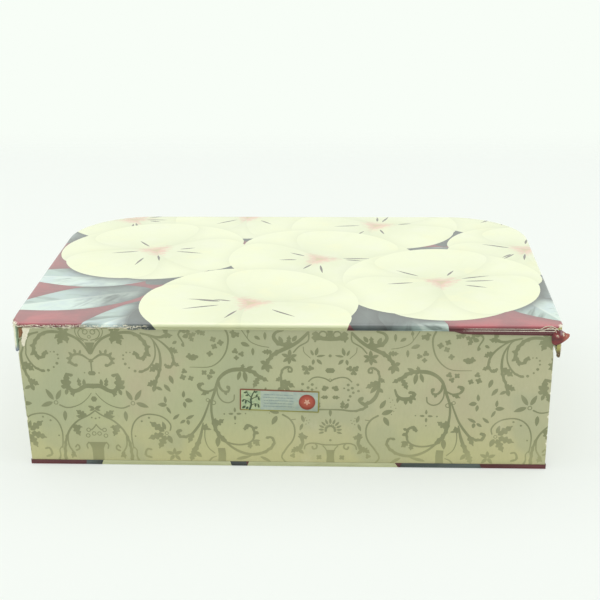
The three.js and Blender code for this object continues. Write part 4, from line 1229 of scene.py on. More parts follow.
def printed_sheet(start, end, bottom, top, cuts, levels):
    """The flat wrap: points, triangles and what each shows (0 ground, 1 ink, 2 core, 3 gone)."""
    chance = random.Random(3)
    outlines = [[Vector(corner) for corner in ((start, bottom), (end, bottom), (end, top), (start, top))]]
    kinds = [0]
    lines = floor((end - FIRST_MIRROR) / HALF_REPEAT) + 2
    for line in range(lines):
        centre = FIRST_MIRROR + line * HALF_REPEAT
        for shape in scroll_shapes(line % 2 == 0):
            for hand in (-1, 1):
                outline = [Vector((centre + hand * point.x, point.y)) for point in shape]
                if min(point.x for point in outline) > end or max(point.x for point in outline) < start:
                    continue
                for point in outline:
                    along = min(max(point.x - FIRST_MIRROR, 0), BODY_HALF - FIRST_MIRROR)
                    point.y *= 1 - PRINT_DROP_SHARE * along / (BODY_HALF - FIRST_MIRROR)
                outlines.append(outline)
                kinds.append(1)
    outlines.extend((ragged(TORN_CORE, chance), ragged(TORN_AWAY, chance)))
    kinds.extend((2, 3))
    folds = [[Vector((cut, bottom)), Vector((cut, top))] for cut in cuts if start < cut < end]
    folds.extend([Vector((start, level)), Vector((end, level))] for level in levels)
    flat, kept, tops = cut_sheet(outlines, folds)
    return flat, kept, [kinds[top_outline] for top_outline in tops]


def finish_piece(name, shaped, materials, body, nodes=(), slot=None, sharp=40, smooth=True):
    """Makes the object of a finished bmesh drawn in millimetres, at the origin, on its body."""
    bmesh.ops.scale(shaped, vec=(MM, MM, MM), verts=shaped.verts)
    mesh = bpy.data.meshes.new(name)
    shaped.to_mesh(mesh)
    shaped.free()
    for material in materials:
        mesh.materials.append(material)
    mesh.polygons.foreach_set("use_smooth", [smooth] * len(mesh.polygons))
    if smooth:
        mesh.set_sharp_from_angle(angle=radians(sharp))
    piece = bpy.data.objects.new(name, mesh)
    bpy.context.collection.objects.link(piece)
    if body:
        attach(piece, body)
    if nodes:
        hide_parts(*nodes)
    return piece


def thicken(piece, share=1.0):
    """Gives a sheet the papers' thickness, or a share of it, inwards from the face that shows."""
    solid = piece.modifiers.new("thickness", "SOLIDIFY")
    solid.thickness = bpy.context.scene.box_sizes.paper_thickness * share
    solid.offset = -1


def cleaned(shaped, distance):
    """Merges corners nearer than a distance and turns the faces outwards."""
    bmesh.ops.remove_doubles(shaped, verts=shaped.verts, dist=distance)
    bmesh.ops.recalc_face_normals(shaped, faces=shaped.faces)


def drop_loose(shaped):
    """Removes corners that no face uses."""
    loose = [vert for vert in shaped.verts if not vert.link_faces]
    bmesh.ops.delete(shaped, geom=loose, context="VERTS")


def face_back(shaped):
    """Turns the faces that face the front to face the back."""
    shaped.normal_update()
    bmesh.ops.reverse_faces(shaped, faces=[face for face in shaped.faces if face.normal.y > 0])


def face_like_first(shaped, forwards):
    """Turns a whole sheet so that its first face looks forwards or back."""
    shaped.normal_update()
    shaped.faces.ensure_lookup_table()
    if (shaped.faces[0].normal.y > 0) != forwards:
        bmesh.ops.reverse_faces(shaped, faces=shaped.faces)


def skinned(shaped, rows):
    """Faces between rows of points."""
    rows = [[shaped.verts.new(point) for point in row] for row in rows]
    for row, following in zip(rows, rows[1:]):
        for index in range(len(row) - 1):
            shaped.faces.new((row[index], row[index + 1], following[index + 1], following[index]))


def quarter(steps):
    """Angles of a quarter turn in equal steps, with both ends."""
    return [pi / 2 * step / steps for step in range(steps + 1)]


def measured(path, walked):
    """A path of two lengths, with the length walked along it put first."""
    section = []
    for index, (first, second) in enumerate(path):
        if index:
            walked += hypot(first - path[index - 1][0], second - path[index - 1][1])
        section.append((walked, first, second))
    return section


def wall_section(bottom, top, rounding, wall, turned):
    """Path of paper up a wall, over its top and down inside: (length walked, inset, height)."""
    turns = quarter(4)
    path = [(0.0, bottom), (0.0, top - rounding)]
    path.extend((rounding * (1 - cos(turn)), top - rounding * (1 - sin(turn))) for turn in turns[1:])
    path.extend((wall - rounding * (1 - sin(turn)), top - rounding * (1 - cos(turn))) for turn in turns[:-1])
    path.extend([(wall, top - rounding), (wall, top - turned)])
    return measured(path, bottom)


def turned_edge(radius, steps):
    """Path over an edge of the lid's top that is rounded by a radius."""
    return [(radius * (sin(turn) - 1), LID_TOP - radius * (1 - cos(turn))) for turn in quarter(steps)]


def rim_section():
    """Path of paper over the lid's edge, down the rim, round its foot and up inside."""
    path = turned_edge(LID_EDGE, 5)
    foot = RIM_THICKNESS / 2
    path.extend((foot * (cos(angle) - 1), RIM_BOTTOM + foot * (1 - sin(angle)))
                for angle in (pi * step / 8 for step in range(9)))
    path.append((-RIM_THICKNESS, RIM_BOTTOM + RIM_TURN_IN))
    return measured(path, 0.0)


def rear_section():
    """Path of the same paper over the rear edge, through the crease and onto the back wall."""
    path = turned_edge(REAR_EDGE, 7)
    path.extend((-CREASE_DEPTH * deep, FOLD_Z + CREASE_HALF * up + lip) for deep, up, lip in (
        (0, 1, CREASE_LIP), (0, 1, 0), (0.8, 0.3, 0), (1, 0, 0), (0.8, -0.3, 0), (0, -1, 0),
        (0, -1, -CREASE_LIP)))
    path.append((0.0, STRIP_LOW.z))
    return measured(path, 0.0)


def foot_section():
    """Path of the bottom's paper from under the box round the foot and up the wall."""
    path = [(FOOT_EDGE * (sin(turn) - 1), FOOT_EDGE * (1 - cos(turn))) for turn in quarter(4)]
    path.append((0.0, FOOT_TURN_UP))
    return measured(path, 0.0)


def on_section(section, walked):
    """Inset and height at a length along a section."""
    for (start, inset, height), (end, next_inset, next_height) in zip(section, section[1:]):
        if walked <= end:
            break
    share = (walked - start) / (end - start)
    return inset + (next_inset - inset) * share, height + (next_height - height) * share


class Sheet:
    """A flat sheet folded round a plan with square rear corners and round front ones."""

    def __init__(self, half, middle, rear, front, radius, section, back_section):
        self.half = half
        self.middle = middle
        self.rear = rear
        self.front = front
        self.radius = radius
        self.section = section
        self.back_section = back_section
        self.inset = -section[0][1]
        self.back_inset = -back_section[0][1]
        self.level = section[0][2]
        self.reach = section[-1][0] - self.inset
        self.back_reach = back_section[-1][0] - self.back_inset

    def line(self, reach, steps=24, side_steps=14):
        """A line of the flat sheet at a distance beyond the plan, from left rear round to right rear."""
        centre_x = self.half - self.radius
        centre_y = self.front - self.radius
        radius = self.radius + reach
        right = [Vector((centre_x + radius * cos(angle), centre_y + radius * sin(angle)))
                 for angle in quarter(steps)]
        side = [Vector((self.half + reach, self.rear + (centre_y - self.rear) * step / side_steps))
                for step in range(side_steps)]
        right = side + right
        left = [Vector((-point.x, point.y)) for point in right]
        return [Vector((point.x + self.middle, point.y)) for point in left + right[::-1]]

    def across(self, level):
        """A line of the flat sheet from side to side, cut more finely near its ends."""
        places = {self.half - reach for reach in SHEET_END_STEPS}
        places.update(range(0, int(self.half - SHEET_END_STEPS[-1]), SHEET_STEP))
        right = sorted(places)
        return [Vector((self.middle + x, level)) for x in [-place for place in right[:0:-1]] + right]

    def folds(self):
        """Lines of the flat sheet where it bends, and across its turned-down edges."""
        lines = [self.line(walked - self.inset) for walked, _out, _height in self.section[:-1]]
        lines.extend(self.across(self.rear + self.back_inset - walked)
                     for walked, _out, _height in self.back_section[:-1])
        inner = self.line(-self.inset)
        outer = self.line(self.reach)
        lines.extend([start, end] for start, end in zip(inner[1:-1], outer[1:-1]))
        return lines

    def border(self, split, tongue):
        """Outline of the flat sheet. Below the split line it ends in a tongue, given from the right."""
        half = self.half
        corners = [(self.middle + half, self.rear)]
        if split < self.rear:
            corners.extend([(self.middle + half, split), (tongue[0][0], split)])
        corners.extend(tongue)
        if split < self.rear:
            corners.extend([(tongue[-1][0], split), (self.middle - half, split)])
        corners.append((self.middle - half, self.rear))
        return self.line(self.reach) + [Vector(corner) for corner in corners]

    def folded(self, x, y):
        """Where a point of the flat sheet lies once folded."""
        hand = 1 if x > self.middle else -1
        across = abs(x - self.middle)
        corner_x = across - (self.half - self.radius)
        corner_y = y - (self.front - self.radius)
        if corner_x > 0 and corner_y > 0:
            distance = hypot(corner_x, corner_y)
            normal = (hand * corner_x / distance, corner_y / distance)
            beyond = distance - self.radius
        elif across - self.half > y - self.front:
            normal = (hand, 0)
            beyond = across - self.half
        else:
            normal = (0, 1)
            beyond = y - self.front
        height = self.level
        back = self.rear + self.back_inset - y
        if beyond > -self.inset:
            out, height = on_section(self.section, beyond + self.inset)
            x += normal[0] * (out - beyond)
            y += normal[1] * (out - beyond)
        if back > 0:
            out, low = on_section(self.back_section, back)
            y = self.rear - out
            if abs(low - self.level) > abs(height - self.level):
                height = low
        return x, y, height


def flower_shapes(blossoms, leaves, chance):
    """Shapes of the print from the lowest up: (outline, kind, root, tip, half width, chance)."""
    made = []

    def blade(root, angle, length, width, blunt, kind, dark=None):
        root = Vector(root)
        along = Vector((cos(angle), sin(angle)))
        across = Vector((-along.y, along.x))
        steps = 26 if blunt else 18
        wobble = chance.uniform(0, 6)
        left = []
        right = []
        for step in range(1, steps):
            share = (1 - cos(pi * step / steps)) / 2
            if blunt:
                half = width / 2 * sin(pi * share ** 1.55) ** 0.52
            else:
                half = width / 2 * sin(pi * share ** 0.8) ** 0.9
            ripple = 1 + 0.03 * sin(wobble + 7 * share)
            bend = across * length * 0.04 * sin(wobble) * share ** 2
            left.append(root + along * length * share + across * half * ripple + bend)
            right.append(root + along * length * share - across * half * (2 - ripple) + bend)
        tip = root + along * length
        end = tip + across * length * 0.04 * sin(wobble)
        own = chance.random() if dark is None else dark
        made.append(([root, *right, end, *left[::-1]], kind, root, tip, width / 2, own))

    for x, y, tip_x, tip_y, width, dark in leaves:
        blade((x, y), atan2(tip_y - y, tip_x - x), hypot(tip_x - x, tip_y - y), width, False, 2, dark)
    for x, y, radius, petals, turn in blossoms:
        width = 2.3 * radius * sin(pi / petals)
        order = [*range(0, petals, 2), *range(1, petals, 2)]
        for petal in order:
            angle = radians(turn) + 2 * pi * petal / petals + chance.uniform(-0.08, 0.08)
            length = radius * chance.uniform(0.93, 1.06)
            blade((x, y), angle, length, width * chance.uniform(0.92, 1.05), True, 1)
        for _stamen in range(STAMENS):
            angle = chance.uniform(0, 2 * pi)
            start = radius * chance.uniform(0.16, 0.28)
            length = radius * chance.uniform(0.16, 0.34)
            root = (x + start * cos(angle), y + start * sin(angle))
            blade(root, angle + chance.uniform(-0.15, 0.15), length, STAMEN_WIDTH, False, 3)
    return made


def shade_tree(shapes):
    """Points along the shapes' outlines, to find how near an upper shape's edge is."""
    samples = []
    for layer, (outline, kind, *_facts) in enumerate(shapes, start=1):
        if kind == 3:
            continue
        for start, end in zip(outline, outline[1:] + outline[:1]):
            steps = max(1, ceil((end - start).length / SHADE_STEP))
            samples.extend((start.lerp(end, step / steps), layer) for step in range(steps))
    tree = KDTree(len(samples))
    for index, (point, _layer) in enumerate(samples):
        tree.insert((point.x, point.y, 0), index)
    tree.balance()
    return tree, [layer for _point, layer in samples]


def shades(flat, shapes):
    """For each point, the distance to upper outlines near it, as (layer, distance) pairs."""
    tree, layers = shade_tree(shapes)
    found = []
    for point in flat:
        near = {}
        for _place, index, distance in tree.find_range((point.x, point.y, 0), SHADE_REACH):
            layer = layers[index]
            near[layer] = min(distance, near.get(layer, SHADE_REACH))
        found.append(near)
    return found


def print_materials():
    """Materials of the flowered print, in the order of the shapes' kinds."""
    return [print_ground(), print_petal(), print_leaf(), print_stamen()]


def spots_in_grid(step, columns, rows):
    """Points of a grid that reaches from one count of steps to another each way."""
    return [Vector((x * step, y * step)) for x in range(*columns) for y in range(*rows)]


def flower_mesh(flat, faces, shapes, near, sheet, wear, soil_and_shade):
    """A bmesh of the folded and pressed sheet that carries what its materials need."""
    shaped = bmesh.new()
    flat_map = shaped.loops.layers.uv.new("flat")
    root_layer = shaped.loops.layers.float_vector.new("leaf_root")
    tip_layer = shaped.loops.layers.float_vector.new("leaf_tip")
    shade_layer = shaped.loops.layers.float.new("shade")
    worn_layer = shaped.loops.layers.float.new("worn")
    # Painted shade, and some soiling, of turned-down edges
    soil_and_shade_layer = shaped.loops.layers.float.new("soil_and_shade")
    corners = {}
    for triangle, top in faces:
        for index in triangle:
            if index not in corners:
                corners[index] = shaped.verts.new(sheet.folded(*flat[index]))
        face = shaped.faces.new([corners[index] for index in triangle])
        kind, root, tip, half_width, chance = 0, Vector((0, 0)), Vector((1, 0)), 1.0, 0.0
        if top:
            _outline, kind, root, tip, half_width, chance = shapes[top - 1]
        face.material_index = kind
        for loop, index in zip(face.loops, triangle):
            point = flat[index]
            loop[flat_map].uv = point * MM
            loop[root_layer] = (root.x, root.y, half_width)
            loop[tip_layer] = (tip.x, tip.y, chance)
            closest = min((distance for layer, distance in near[index].items() if layer > top),
                          default=SHADE_REACH)
            loop[shade_layer] = (1 - closest / SHADE_REACH) ** 2
            loop[worn_layer] = wear(point, corners[index].co)
            loop[soil_and_shade_layer] = soil_and_shade(corners[index].co)
    press(shaped, lid=sheet.half == LID_HALF)
    cleaned(shaped, MERGE_FOLDED)
    return shaped


def fade(value, reach):
    """1 up to zero, smoothly down to 0 at reach."""
    share = min(max(value / reach, 0), 1)
    return 1 - share * share * (3 - 2 * share)


def press(shaped, lid=False):
    """Presses the rear corners in and leans the side walls, in millimetres."""
    for vert in shaped.verts:
        x, y, z = vert.co
        middle = LID_SIDEWAYS if lid else 0
        hand = 1 if x > middle else -1
        if lid:
            over_x = hand * (x - middle) - (LID_HALF - CRUSHED_RADIUS)
            over_y = COVER_LOW.y + CRUSHED_RADIUS - y
            if over_x > 0 and over_y > 0:
                shrink = max(over_x, over_y) / hypot(over_x, over_y)
                x = middle + hand * (LID_HALF - CRUSHED_RADIUS + over_x * shrink)
                y = COVER_LOW.y + CRUSHED_RADIUS - over_y * shrink
            if hand > 0 and hand * x > BODY_HALF and z < LID_TOP - LID_EDGE:
                low = (LID_TOP - z) / (LID_TOP - RIM_BOTTOM)
                z -= RIM_SAG * low * fade(y - COVER_LOW.y, RIM_SAG_LENGTH)
        depths = (LID_PRESSED_LEFT, LID_PRESSED_RIGHT) if lid else (WALL_PRESSED_LEFT, WALL_PRESSED_RIGHT)
        depth = depths[1] if hand > 0 else depths[0]
        depth *= fade(y - COVER_LOW.y, PRESSED_BACK) * fade(LID_HALF - abs(x), PRESSED_SIDE)
        if not lid:
            depth *= 1 - fade(z - PRESSED_LOW, PRESSED_HIGH - PRESSED_LOW)
            lean = (LEAN_RIGHT if hand > 0 else LEAN_LEFT) * max(1 - z / LEAN_HEIGHT, 0)
            depth += lean * (abs(x) / BODY_HALF) ** LEAN_POWER * fade(y - BODY_BACK, LEAN_REACH)
        vert.co = (x - hand * depth, y, z)


def round_rear_edge(shaped, radius):
    """Rounds the upper rear edge of the lid's board, in millimetres."""
    centre_y = COVER_LOW.y + REAR_EDGE
    centre_z = LID_TOP - REAR_EDGE
    cut_across(shaped, 1, [centre_y - radius * (1 - share) for share in REAR_EDGE_CUTS])
    for vert in shaped.verts:
        behind = centre_y - vert.co.y
        above = vert.co.z - centre_z
        if behind > 0 and above > 0 and hypot(behind, above) > radius:
            vert.co.z = centre_z + sqrt(max(radius ** 2 - behind ** 2, 0))


def node_copy(node):
    """A merged copy of a CAD node's mesh, in millimetres."""
    shaped = bmesh.new()
    shaped.from_mesh(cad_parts[node].data)
    bmesh.ops.scale(shaped, vec=(1 / MM, 1 / MM, 1 / MM), verts=shaped.verts)
    bmesh.ops.remove_doubles(shaped, verts=shaped.verts, dist=MERGE_COPIED)
    return shaped


def ribbon(shaped, path, half_width):
    """A narrow strip along a path."""
    skinned(shaped, [(point + half_width, point - half_width) for point in path])


def flake(shaped, chance, back, low, high):
    """A flake of torn core on the frayed part of the fold, between two heights."""
    x = chance.uniform(FLAKE_LONG - BODY_HALF, FRAYED_LEFT)
    size = chance.uniform(FLAKE_SHORT, FLAKE_LONG)
    z = chance.uniform(low, high)
    path = [(x - size, back, z), (x, back - PAPER, z + chance.uniform(0, THREAD_HALF)),
            (x + size, back, z + chance.uniform(-THREAD_HALF, THREAD_HALF))]
    tall = chance.uniform(THREAD_HALF / 2, THREAD_HALF)
    ribbon(shaped, path_points(path, THREAD_STEP / 2), Vector((0, -THREAD_HALF, tall)))


def cut_across(shaped, axis, places):
    """Cuts the mesh by planes across an axis."""
    normal = [1 if index == axis else 0 for index in range(3)]
    for place in places:
        point = [place if index == axis else 0 for index in range(3)]
        geometry = [*shaped.verts, *shaped.edges, *shaped.faces]
        bmesh.ops.bisect_plane(shaped, geom=geometry, dist=MERGE_METAL, plane_co=point, plane_no=normal)


def rounded(middle_x, middle_z, width, height, radius, steps=5):
    """Outline of a plate with round corners."""
    points = []
    for corner, (side, level) in enumerate(((1, 1), (-1, 1), (-1, -1), (1, -1))):
        centre_x = middle_x + side * (width / 2 - radius)
        centre_z = middle_z + level * (height / 2 - radius)
        for step in range(steps + 1):
            angle = pi / 2 * (corner + step / steps)
            points.append((centre_x + radius * cos(angle), centre_z + radius * sin(angle)))
    return points


def circle(middle, radius, steps=24):
    """Points round a circle, as two lengths."""
    turns = (2 * pi * step / steps for step in range(steps))
    return [(middle[0] + radius * cos(turn), middle[1] + radius * sin(turn)) for turn in turns]


def extruded(shaped, outlines, start, travel):
    """A solid from an outline with its holes, already placed in space, pushed along a vector."""
    edges = []
    for outline in outlines:
        verts = [shaped.verts.new(Vector(start) + Vector(point)) for point in outline]
        edges.extend(shaped.edges.new(pair) for pair in zip(verts, verts[1:] + verts[:1]))
    filled = bmesh.ops.triangle_fill(shaped, use_beauty=True, use_dissolve=False, edges=edges)
    faces = [made for made in filled["geom"] if isinstance(made, bmesh.types.BMFace)]
    pushed = bmesh.ops.extrude_face_region(shaped, geom=faces)
    verts = [made for made in pushed["geom"] if isinstance(made, bmesh.types.BMVert)]
    bmesh.ops.translate(shaped, vec=travel, verts=verts)


def stamped(outlines, back):
    """A plate that faces the front with eased edges, from outlines of X and Z."""
    shaped = bmesh.new()
    extruded(shaped, [[(x, 0, z) for x, z in outline] for outline in outlines], (0, back, 0), (0, PLATE, 0))
    bmesh.ops.remove_doubles(shaped, verts=shaped.verts, dist=MERGE_METAL)
    ease(shaped)
    return shaped


def drawn_along_x(outlines, left, length):
    """A bar along X, from outlines of Y and Z."""
    shaped = bmesh.new()
    extruded(shaped, [[(0, y, z) for y, z in outline] for outline in outlines], (left, 0, 0), (length, 0, 0))
    return shaped


def ease(shaped, width=EDGE_EASE, segments=2, turn=35):
    """Rounds every edge that turns by more than an angle."""
    bmesh.ops.recalc_face_normals(shaped, faces=shaped.faces)
    edges = [edge for edge in shaped.edges
             if len(edge.link_faces) == 2 and edge.calc_face_angle() > radians(turn)]
    bmesh.ops.bevel(shaped, geom=edges, offset=width, segments=segments, profile=0.5, affect="EDGES",
                    clamp_overlap=True, material=-1)


def spun(profile, centre, axis=(1, 0, 0), steps=32):
    """A profile of (place along the axis, radius) turned about an axis through centre."""
    shaped = bmesh.new()
    along = Vector(axis)
    side = along.orthogonal().normalized()
    verts = [shaped.verts.new(Vector(centre) + along * place + side * radius) for place, radius in profile]
    edges = [shaped.edges.new(pair) for pair in zip(verts, verts[1:])]
    bmesh.ops.spin(shaped, geom=[*verts, *edges], cent=centre, axis=axis, dvec=(0, 0, 0), angle=2 * pi,
                   steps=steps, use_merge=True, use_duplicate=False)
    cleaned(shaped, MERGE_METAL)
    return shaped


def ended_alike(start, end, ends, between=()):
    """Profile of a piece with like ends, given as (distance from the end, radius)."""
    return [*((start + inset, radius) for inset, radius in ends), *between,
            *((end - inset, radius) for inset, radius in reversed(ends))]


def bar(middle, start, end, radius, ease_by=EDGE_EASE, steps=32):
    """A round bar along X with eased ends."""
    ends = ((0, 0.0), (0, radius - ease_by), (ease_by * 0.3, radius - ease_by * 0.3), (ease_by, radius))
    return spun(ended_alike(start, end, ends), middle, steps=steps)


def tube(path, radius, steps=14):
    """A round wire along a path that lies in one plane across Y."""
    shaped = bmesh.new()
    rings = []
    for before, point, after in zip([path[0], *path], path, [*path[1:], path[-1]]):
        across = (after - before).normalized().cross(Vector((0, 1, 0))) * radius
        turns = [2 * pi * step / steps for step in range(steps)]
        rings.append([shaped.verts.new(point + across * cos(turn) + Vector((0, radius * sin(turn), 0)))
                      for turn in turns])
    for ring, following in zip(rings, rings[1:]):
        for step in range(steps):
            shaped.faces.new((ring[step - 1], ring[step], following[step], following[step - 1]))
    shaped.faces.new(rings[0])
    shaped.faces.new(rings[-1])
    bmesh.ops.recalc_face_normals(shaped, faces=shaped.faces)
    return shaped


def brass_piece(name, shapes, metal, body, node, sharp=40):
    """Makes one brass object of several bmeshes."""
    whole = bmesh.new()
    for shaped in shapes:
        mesh = bpy.data.meshes.new("part")
        shaped.to_mesh(mesh)
        shaped.free()
        whole.from_mesh(mesh)
        bpy.data.meshes.remove(mesh)
    finish_piece(name, whole, [metal], body, [node], "latch_brass", sharp=sharp)


def colour_property(name, description, code):
    """A colour that a user would change."""
    return bpy.props.FloatVectorProperty(name=name, description=description, subtype="COLOR", min=0, max=1,
                                         default=tone(code)[:3])


class BoxColours(bpy.types.PropertyGroup):
    """Colours of the papers, board, brass and leatherette."""

    scroll_green: colour_property("Scroll paper, greener", "Greener tint of the ground", "adb18b")
    scroll_warm: colour_property("Scroll paper, warmer", "Warmer tint of the ground", "b6b391")
    # The next two tints are painted light low on the walls and painted shade high on them
    scroll_floor_light: colour_property("Scroll paper, foot", "Yellower tint low on the walls", "c5c08d")
    scroll_head_shade: colour_property("Scroll paper, head", "Duller tint high on the walls", "999c7e")
    scroll_ink: colour_property("Scroll ink", "Ink of the scrollwork", "787c5a")
    print_crimson: colour_property("Print, crimson", "Darker ground of the flowered print", "8a1c2c")
    print_rose: colour_property("Print, rose", "Lighter ground of the flowered print", "a8303c")
    print_cream: colour_property("Print, cream", "Petals near their heart", "dde2bb")
    print_pale: colour_property("Print, pale", "Petals near their rim", "e8ecc4")
    paper_core: colour_property("Paper core", "White core that shows where paper is torn or rubbed", "ebe6d4")
    liner_light: colour_property("Liner, light", "Plain inner paper", "d8d0b4")
    liner_dark: colour_property("Liner, dark", "Yellowed places of the inner paper", "cdc3a2")
    board_light: colour_property("Board, light", "Lighter fibres of the board", "9c7a58")
    board_dark: colour_property("Board, dark", "Darker fibres of the board", "7a4e38")
    brass_bright: colour_property("Brass, bright", "Brass where it is bright", "d9c07c")
    brass_dull: colour_property("Brass, dull", "Brass where it is dull", "c0a260")
    leather_light: colour_property("Leatherette, light", "Lighter places of the grip", "6b4331")
    leather_dark: colour_property("Leatherette, dark", "Darker places of the grip", "4f2f22")


class BoxSizes(bpy.types.PropertyGroup):
    """Sizes of the pieces that Blender adds detail to."""

    paper_thickness: bpy.props.FloatProperty(
        name="Paper thickness", description="Thickness of the covering papers",
        default=PAPER * MM, min=0.0001, max=0.001, unit="LENGTH", subtype="DISTANCE")


class OBJECT_OT_box_stage(bpy.types.Operator):
    """Floor, backdrop, lamps and camera"""

    bl_idname = "object.box_stage"
    bl_label = "Stage"

    def execute(self, context):
        context.scene.view_settings.view_transform = "Standard"
        self.light_tent(context)
        self.floor()
        for name, place, aim, size, power in LAMPS:
            lamp = bpy.data.lights.new(name, "AREA")
            lamp.shape = "SQUARE"
            lamp.size = size
            lamp.energy = power
            made = self.linked(context, name, lamp)
            made.visible_glossy = name == "soft_top"
            made.location = place
            made.rotation_euler = (Vector(aim) - Vector(place)).to_track_quat("-Z", "Y").to_euler()
        self.camera(context)
        return {"FINISHED"}

    def linked(self, context, name, data):
        made = bpy.data.objects.new(name, data)
        context.collection.objects.link(made)
        return made

    def light_tent(self, context):
        """A bright surround for the camera and in reflections, and a dimmer one that lights the box."""
        world = bpy.data.worlds.new("light_tent")
        context.scene.world = world
        world.use_nodes = True
        tent = Nodes(world.node_tree)
        tent.tree.nodes.clear()
        seen = tent.node("ShaderNodeBackground", {}, [tone("f8fef7"), 1.0])
        lit = tent.node("ShaderNodeBackground", {}, [TENT_LIGHT, TENT_POWER])
        rays = ("Is Camera Ray", "Is Glossy Ray", "Is Transmission Ray")
        camera, glossy, through = tent.outputs(tent.node("ShaderNodeLightPath"), rays)
        shown = tent.node("ShaderNodeMixShader", {}, [camera.most(glossy).most(through), lit, seen])
        tent.node("ShaderNodeOutputWorld", {}, [shown])

    def floor(self):
        """White floor that glows to the camera and fades out behind the box."""
        shaped = bmesh.new()
        bmesh.ops.create_grid(shaped, x_segments=1, y_segments=1, size=FLOOR_HALF)
        paint = Paint("floor_white")
        place = paint.place()
        clouds = paint.noise(place, 2.0, 2.0, 0.5)
        seen = paint.node("ShaderNodeLightPath")
        paint.colour = paint.mix(clouds.rises(0.3, 0.7), (0.88, 0.915, 0.88, 1), (0.895, 0.93, 0.89, 1))
        paint.over(seen, (0.37, 0.385, 0.37, 1))
        glow = paint.mix(seen, (0, 0, 0, 1), (0.96, 1, 0.955, 1))
        away = paint.vector("LENGTH", place, output=1)
        alpha = paint.split(place)[1].rises(*FLOOR_BACK).least(1 - seen * away.rises(*FLOOR_SEEN))
        paint.set(Roughness=0.85, Specular_IOR_Level=0.2, Alpha=alpha, Emission_Color=glow,
                  Emission_Strength=0.515)
        stage_floor = finish_piece("stage_floor", shaped, [paint.material], None, smooth=False)
        stage_floor.location.z = -FLOOR_DROP
        stage_floor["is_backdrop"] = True

    def camera(self, context):
        """A camera that sees the box as the photograph does."""
        pitch, yaw, roll = CAMERA_TURNS
        ahead = Vector((sin(yaw) * cos(pitch), cos(yaw) * cos(pitch), -sin(pitch)))
        right = Vector((cos(yaw), -sin(yaw), 0))
        up = right.cross(ahead)
        rolled = (cos(roll) * right + sin(roll) * up, -sin(roll) * right + cos(roll) * up, -ahead)
        data = bpy.data.cameras.new("photo_camera")
        data.lens = CAMERA_LENS
        data.sensor_width = 36
        data.clip_end = 50
        camera = self.linked(context, "photo_camera", data)
        camera.matrix_world = Matrix.Translation(CAMERA_PLACE) @ Matrix(rolled).transposed().to_4x4()
        context.scene.camera = camera


class OBJECT_OT_box_boards(bpy.types.Operator):
    """Boards and plain inner papers, pressed in at the rear corners"""

    bl_idname = "object.box_boards"
    bl_label = "Boards and liners"

    def execute(self, context):
        liner = plain_paper("liner_paper_plain", chosen("liner_light"), chosen("liner_dark"))
        materials = {"greyboard": greyboard(), "liner_paper": liner}
        cuts = ([hand * (BODY_HALF - place) for place in BOARD_SIDE_CUTS for hand in (-1, 1)],
                [COVER_LOW.y + place for place in BOARD_REAR_CUTS],
                BOARD_HEIGHT_CUTS)
        for slot, nodes in BOARDS.items():
            for node in nodes:
                body = node.split("_")[0]
                shaped = node_copy(node)
                for axis, places in enumerate(cuts):
                    cut_across(shaped, axis, places)
                if node == "lid_board":
                    round_rear_edge(shaped, REAR_EDGE - PAPER)
                press(shaped, lid=body == "lid")
                bmesh.ops.recalc_face_normals(shaped, faces=shaped.faces)
                name = node.replace("base_", "walls_").replace("lid_", "top_")
                finish_piece(name, shaped, [materials[slot]], body, [node], slot, sharp=30)
        return {"FINISHED"}


